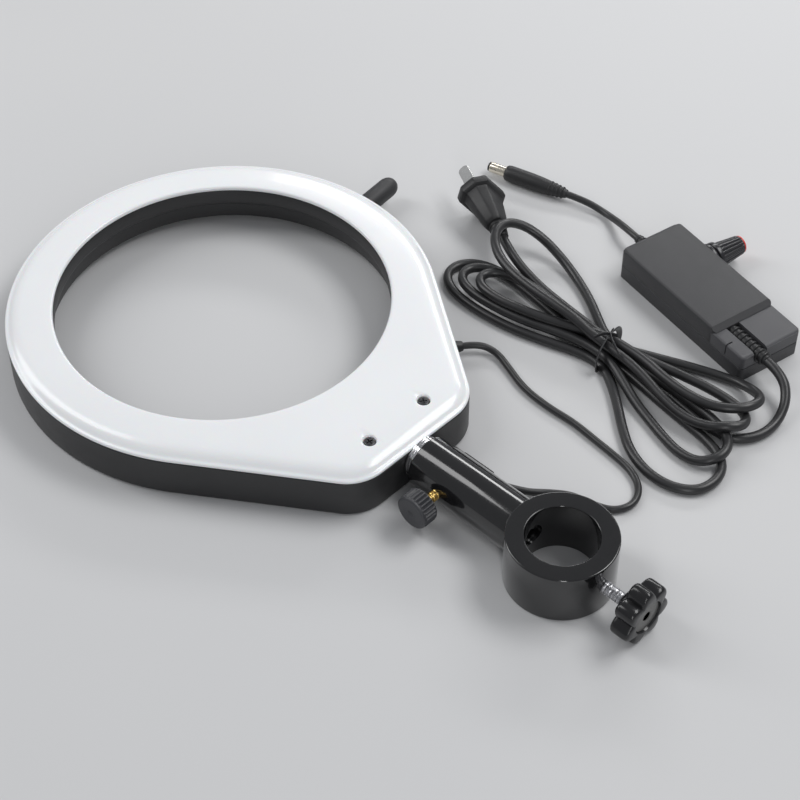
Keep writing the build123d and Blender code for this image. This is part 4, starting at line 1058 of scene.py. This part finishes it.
class RINGLIGHT_OT_mains_plug(bpy.types.Operator):
    """Build the flat two-pin plug with its eight-sided rim"""
    bl_idname = "ringlight.mains_plug"
    bl_label = "Mains plug"

    def execute(self, context):
        f = self.finishes
        roll = radians(52.0)
        half_w, half_t, support = 13.0, 9.5, 12.6
        facet_w = (support - half_w * sin(roll)) / cos(roll)
        facet_h = (support - half_t * cos(roll)) / sin(roll)
        side = Vector((0.482, 0.876, 0.0)).normalized()
        up = PIN_DIR.cross(side)
        axes = Matrix((side, up, PIN_DIR)).transposed().to_4x4()
        place = Matrix.Translation(PLUG_FRONT) @ axes @ Matrix.Rotation(roll, 4, "Z")

        def eight(depth, wide, thick, corner):
            corners = [(half_w, facet_w), (facet_h, half_t), (-facet_h, half_t), (-half_w, facet_w),
                       (-half_w, -facet_w), (-facet_h, -half_t), (facet_h, -half_t), (half_w, -facet_w)]
            ring = rounded([(x * wide, y * thick) for x, y in corners], corner, steps=4)
            return [Vector((x, y, -depth)) for x, y in ring]

        sections = [eight(0.0, 0.88, 0.84, 1.2), eight(0.0, 0.95, 0.93, 1.3), eight(0.25, 0.985, 0.98, 1.4),
                    eight(0.8, 1.0, 1.0, 1.5), eight(3.6, 1.0, 1.0, 1.5), eight(4.4, 0.98, 0.97, 1.4),
                    eight(4.9, 0.92, 0.89, 1.3), eight(5.2, 0.84, 0.80, 1.3), eight(6.4, 0.80, 0.76, 1.6),
                    eight(10.0, 0.74, 0.73, 2.0), eight(15.0, 0.66, 0.68, 2.4),
                    eight(20.0, 0.57, 0.62, 2.6),
                    eight(24.5, 0.48, 0.56, 2.6), eight(26.0, 0.42, 0.50, 2.4),
                    eight(26.5, 0.36, 0.44, 2.0)]
        body = loft(sections)
        body.transform(place)
        make("plug_grip", body, f.plug, "arm", ["mains_plug_body"], sharp=38)
        sleeve = lathe(solid_outline([(4.4, -25.5), (4.3, -28.0), (3.5, -33.5), (3.0, -36.0, 0.3)], 0.4),
                       around=48)
        sleeve.transform(place)
        make("plug_sleeve", sleeve, f.relief, "arm")
        ribs = grown("plug_ribs", self.trees.ribs, place @ placed((0, 0, -28.0), -Z_AXIS), f.relief,
                     {"Count": 3, "Spacing": 2.4, "Radius": 4.6, "Thickness": 1.2, "Taper": 0.3})
        settle(ribs, f.relief, "arm")
        for sign, word in ((-1, "left"), (1, "right")):
            outline = rounded([(-3.15, -8.0, 0.1), (3.15, -8.0, 0.1), (3.15, 17.0, 2.6),
                               (-3.15, 17.0, 2.6)], steps=8)
            middle = sign * 6.35
            pin = loft([[Vector((middle + sign * t, x * (1 - e), z - e)) for x, z in outline]
                        for t, e in ((-0.75, 0.06), (-0.6, 0.0), (0.6, 0.0), (0.75, 0.06))])
            pin.transform(place)
            make(f"plug_pin_{word}", pin, f.blade, "arm", ["mains_plug_pins"], sharp=30)
        return {"FINISHED"}


# ------------------------------------------------------------------ cords
def smooth_curve(name, points, resolution, finish, closed=False):
    """An object with one smooth spline drawn by its control points."""
    curve = bpy.data.curves.new(name, "CURVE")
    curve.dimensions = "3D"
    spline = curve.splines.new("NURBS")
    spline.points.add(len(points) - 1)
    for target, point in zip(spline.points, points):
        target.co = (*point, 1.0)
    spline.order_u = 3
    spline.use_endpoint_u = not closed
    spline.use_cyclic_u = closed
    spline.resolution_u = resolution
    curve.use_fill_caps = True
    curve.materials.append(finish)
    piece = bpy.data.objects.new(name, curve)
    bpy.context.scene.collection.objects.link(piece)
    return piece


def free_cord(name, points, diameter, finish, body, replaces, **facts):
    """A round cord along its control points in metres. The facts are not used."""
    piece = smooth_curve(name, points, 8, finish)
    piece.data.bevel_depth = diameter / 2
    piece.data.bevel_resolution = 6
    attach(piece, body)
    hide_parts(*replaces)


def ribbon(name, points, width, thick, finish, closed=False):
    """A thin flat tie along points in millimetres, as a mesh."""
    source = smooth_curve(name, points, 10, finish, closed)
    curve = source.data
    curve.bevel_mode = "ROUND"
    curve.bevel_depth = thick / 2
    curve.extrude = width / 2
    curve.bevel_resolution = 3
    graph = bpy.context.evaluated_depsgraph_get()
    mesh = bpy.data.meshes.new_from_object(source.evaluated_get(graph))
    bpy.data.objects.remove(source)
    piece = bpy.data.objects.new(name, mesh)
    bpy.context.scene.collection.objects.link(piece)
    settle(piece, finish, "arm", ["hank_tie"], sharp=50)
    return piece


class RINGLIGHT_OT_cords(bpy.types.Operator):
    """Lay the lamp's lead, the output cord and the mains cord with its tied hank"""
    bl_idname = "ringlight.cords"
    bl_label = "Cords"

    def execute(self, context):
        f, s = self.finishes, context.scene.ringlight_cords
        shown = bpy.data.objects
        free_cord("lamp_cord", LAMP_LEAD, s.lamp, f.cord, "head", ["lamp_lead"], length=0.190,
                  far_end="connector", lay="loose",
                  with_pieces=[shown["socket_shell"], shown["socket_sleeve"], frame["nodes"]["socket_pin"]])
        barrel = ("barrel_grip", "barrel_ribs", "barrel_metal", "barrel_tip")
        free_cord("output_lead", OUTPUT_CORD, s.output, f.cord, "arm", ["dc_cord"], length=0.054,
                  far_end="connector", lay="loose", with_pieces=[shown[name] for name in barrel])
        band = ribbon("tie_band", [(73.6, -129.4, -11.0), (73.4, -129.2, -4.0), (72.6, -125.5, 0.8),
                                   (71.6, -120.0, 2.0),
                                   (70.6, -114.5, 1.8), (69.4, -109.0, -0.6), (68.6, -105.9, -5.0),
                                   (68.6, -105.8, -12.0), (71.0, -113.0, -13.2), (73.0, -123.0, -13.2)],
                      2.6, 0.7, f.tie, closed=True)
        first = ribbon("tie_end_long", [(72.5, -122.5, 1.8), (71.5, -119.0, 3.4), (68.5, -115.5, 4.2),
                                        (64.0, -113.2, 3.2),
                                        (59.5, -111.6, 0.8)], 1.3, 0.6, f.tie)
        second = ribbon("tie_end_short", [(68.5, -120.5, 2.0), (71.0, -117.5, 3.9), (73.4, -114.5, 4.2),
                                          (75.4, -111.8, 2.2)], 1.3, 0.6, f.tie)
        plug = ("plug_grip", "plug_sleeve", "plug_ribs", "plug_pin_left", "plug_pin_right")
        free_cord("mains_flex", MAINS_CORD, s.mains, f.cord, "arm", ["mains_lead", "mains_hank"],
                  length=1.70,
                  far_end="plug", lay="coiled",
                  with_pieces=[band, first, second] + [shown[name] for name in plug])
        return {"FINISHED"}


class RINGLIGHT_OT_inner_parts(bpy.types.Operator):
    """Give the parts that stay as they are their finishes"""
    bl_idname = "ringlight.inner_parts"
    bl_label = "Inner parts"

    def execute(self, context):
        f = self.finishes
        finishes = {
            "arm_bolt": f.clamp, "thumb_shoe": f.brass, "clamp_pad": f.nylon, "led_board": f.white_board,
            "board_screws": f.zinc, "leds": f.led, "terminal_block": f.nylon, "backing_plate": f.zinc,
            "spigot_nut": f.zinc, "grip_screw": f.zinc, "inner_wires": f.cord, "socket_pin": f.barrel,
            "adapter_board": f.board, "transformer": f.winding, "capacitors": f.component,
            "heat_sink": f.aluminium, "fuse": f.nylon, "dimmer_pot": f.component, "dimmer_shaft": f.zinc}
        for name, finish in finishes.items():
            mesh = frame["nodes"][name].data
            mesh.materials.clear()
            mesh.materials.append(finish)
        return {"FINISHED"}


# ------------------------------------------------------------------ stage
# name, place, target, size across and along, power
LIGHTS = (("key", (-0.25, -0.75, 1.15), (0.12, -0.06, 0), (0.9, 0.5), 8.5),
          ("side", (0.95, 0.35, 0.75), (0.12, -0.05, 0), (0.35, 1.1), 5.0),
          ("front", (-0.55, 0.55, 0.42), (0.08, -0.05, 0), (0.12, 0.7), 1.5),
          ("back", (0.55, -0.95, 0.5), (0.1, -0.1, 0), (0.9, 0.16), 3.0))
CAMERA_PLACE = (-0.3216, 0.4326, 0.6512)
CAMERA_LOOK = Vector((0.4823, -0.4990, -0.7199))
CAMERA_RIGHT = Vector((-0.719, -0.695, 0))


class RINGLIGHT_OT_stage(bpy.types.Operator):
    """Set the table, the soft lights and the camera"""
    bl_idname = "ringlight.stage"
    bl_label = "Stage"

    def light(self, name, place, target, size, power):
        data = bpy.data.lights.new(name, "AREA")
        data.shape, data.size, data.size_y = "RECTANGLE", size[0], size[1]
        data.energy = power
        lamp = bpy.data.objects.new(name, data)
        bpy.context.scene.collection.objects.link(lamp)
        aim = Vector(target) - Vector(place)
        lamp.matrix_world = Matrix.Translation(place) @ aim.to_track_quat("-Z", "Y").to_matrix().to_4x4()

    def execute(self, context):
        bm = bmesh.new()
        bmesh.ops.create_grid(bm, x_segments=4, y_segments=4, size=4.0)
        table = to_object("table_top", bm)
        table.data.transform(Matrix.Translation((0, 0, TABLE_Z)))
        finish = Finish("pale_table", {})
        cloud = finish.noise(3.0, 2.0)
        table.data.materials.append(finish.feed(
            Base_Color=finish.mix(cloud, (0.60, 0.605, 0.615, 1), (0.64, 0.64, 0.64, 1)),
            Roughness=0.55 + 0.1 * cloud))
        world = bpy.data.worlds.new("studio")
        world.use_nodes = True
        world.node_tree.nodes["Background"].inputs[0].default_value = (0.82, 0.84, 0.88, 1)
        world.node_tree.nodes["Background"].inputs[1].default_value = 0.34
        context.scene.world = world
        for row in LIGHTS:
            self.light(*row)
        camera = bpy.data.cameras.new("view")
        camera.sensor_width, camera.lens = 36.0, 87.62
        camera.clip_start, camera.clip_end = 0.05, 20.0
        eye = bpy.data.objects.new("view", camera)
        context.scene.collection.objects.link(eye)
        forward, right = CAMERA_LOOK.normalized(), CAMERA_RIGHT.normalized()
        up = right.cross(forward)
        turn = Matrix((right, up, -forward)).transposed().to_4x4()
        eye.matrix_world = Matrix.Translation(CAMERA_PLACE) @ turn
        context.scene.camera = eye
        context.scene.view_settings.view_transform = "Standard"
        return {"FINISHED"}


# ------------------------------------------------------------------ add-on
GROUPS = {"head": HeadSizes, "clamp": ClampSizes, "cords": CordSizes, "colours": Colours}
STEPS = (RINGLIGHT_OT_stage, RINGLIGHT_OT_housing, RINGLIGHT_OT_diffuser, RINGLIGHT_OT_grip,
         RINGLIGHT_OT_lead_fittings, RINGLIGHT_OT_arm, RINGLIGHT_OT_thumbscrew, RINGLIGHT_OT_star_knob,
         RINGLIGHT_OT_adapter, RINGLIGHT_OT_dimmer, RINGLIGHT_OT_reliefs, RINGLIGHT_OT_barrel_plug,
         RINGLIGHT_OT_mains_plug, RINGLIGHT_OT_cords, RINGLIGHT_OT_inner_parts)


class RINGLIGHT_PT_panel(bpy.types.Panel):
    """The ring light's sizes, colours and pieces"""
    bl_idname = "RINGLIGHT_PT_panel"
    bl_label = "Ring Light"
    bl_space_type = "VIEW_3D"
    bl_region_type = "UI"
    bl_category = "Ring Light"

    def draw(self, context):
        for key, group in GROUPS.items():
            column = self.layout.column(align=True)
            for label in group.__annotations__:
                column.prop(getattr(context.scene, f"ringlight_{key}"), label)
        for step in STEPS:
            self.layout.operator(step.bl_idname)


def register():
    for cls in (*GROUPS.values(), *STEPS, RINGLIGHT_PT_panel):
        bpy.utils.register_class(cls)
    for key, group in GROUPS.items():
        setattr(bpy.types.Scene, f"ringlight_{key}", bpy.props.PointerProperty(type=group))


def unregister():
    for key in GROUPS:
        delattr(bpy.types.Scene, f"ringlight_{key}")
    for cls in (RINGLIGHT_PT_panel, *reversed(STEPS), *GROUPS.values()):
        bpy.utils.unregister_class(cls)


def main():
    register()
    finishes = make_finishes(bpy.context.scene.ringlight_colours)
    trees = SimpleNamespace(thread=thread_tree(), fluted=fluted_tree(), ribs=ribs_tree())
    for step in STEPS:
        step.finishes, step.trees = finishes, trees
        group, name = step.bl_idname.split(".")
        getattr(getattr(bpy.ops, group), name)()
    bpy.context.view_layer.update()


if __name__ == "__main__":
    main()
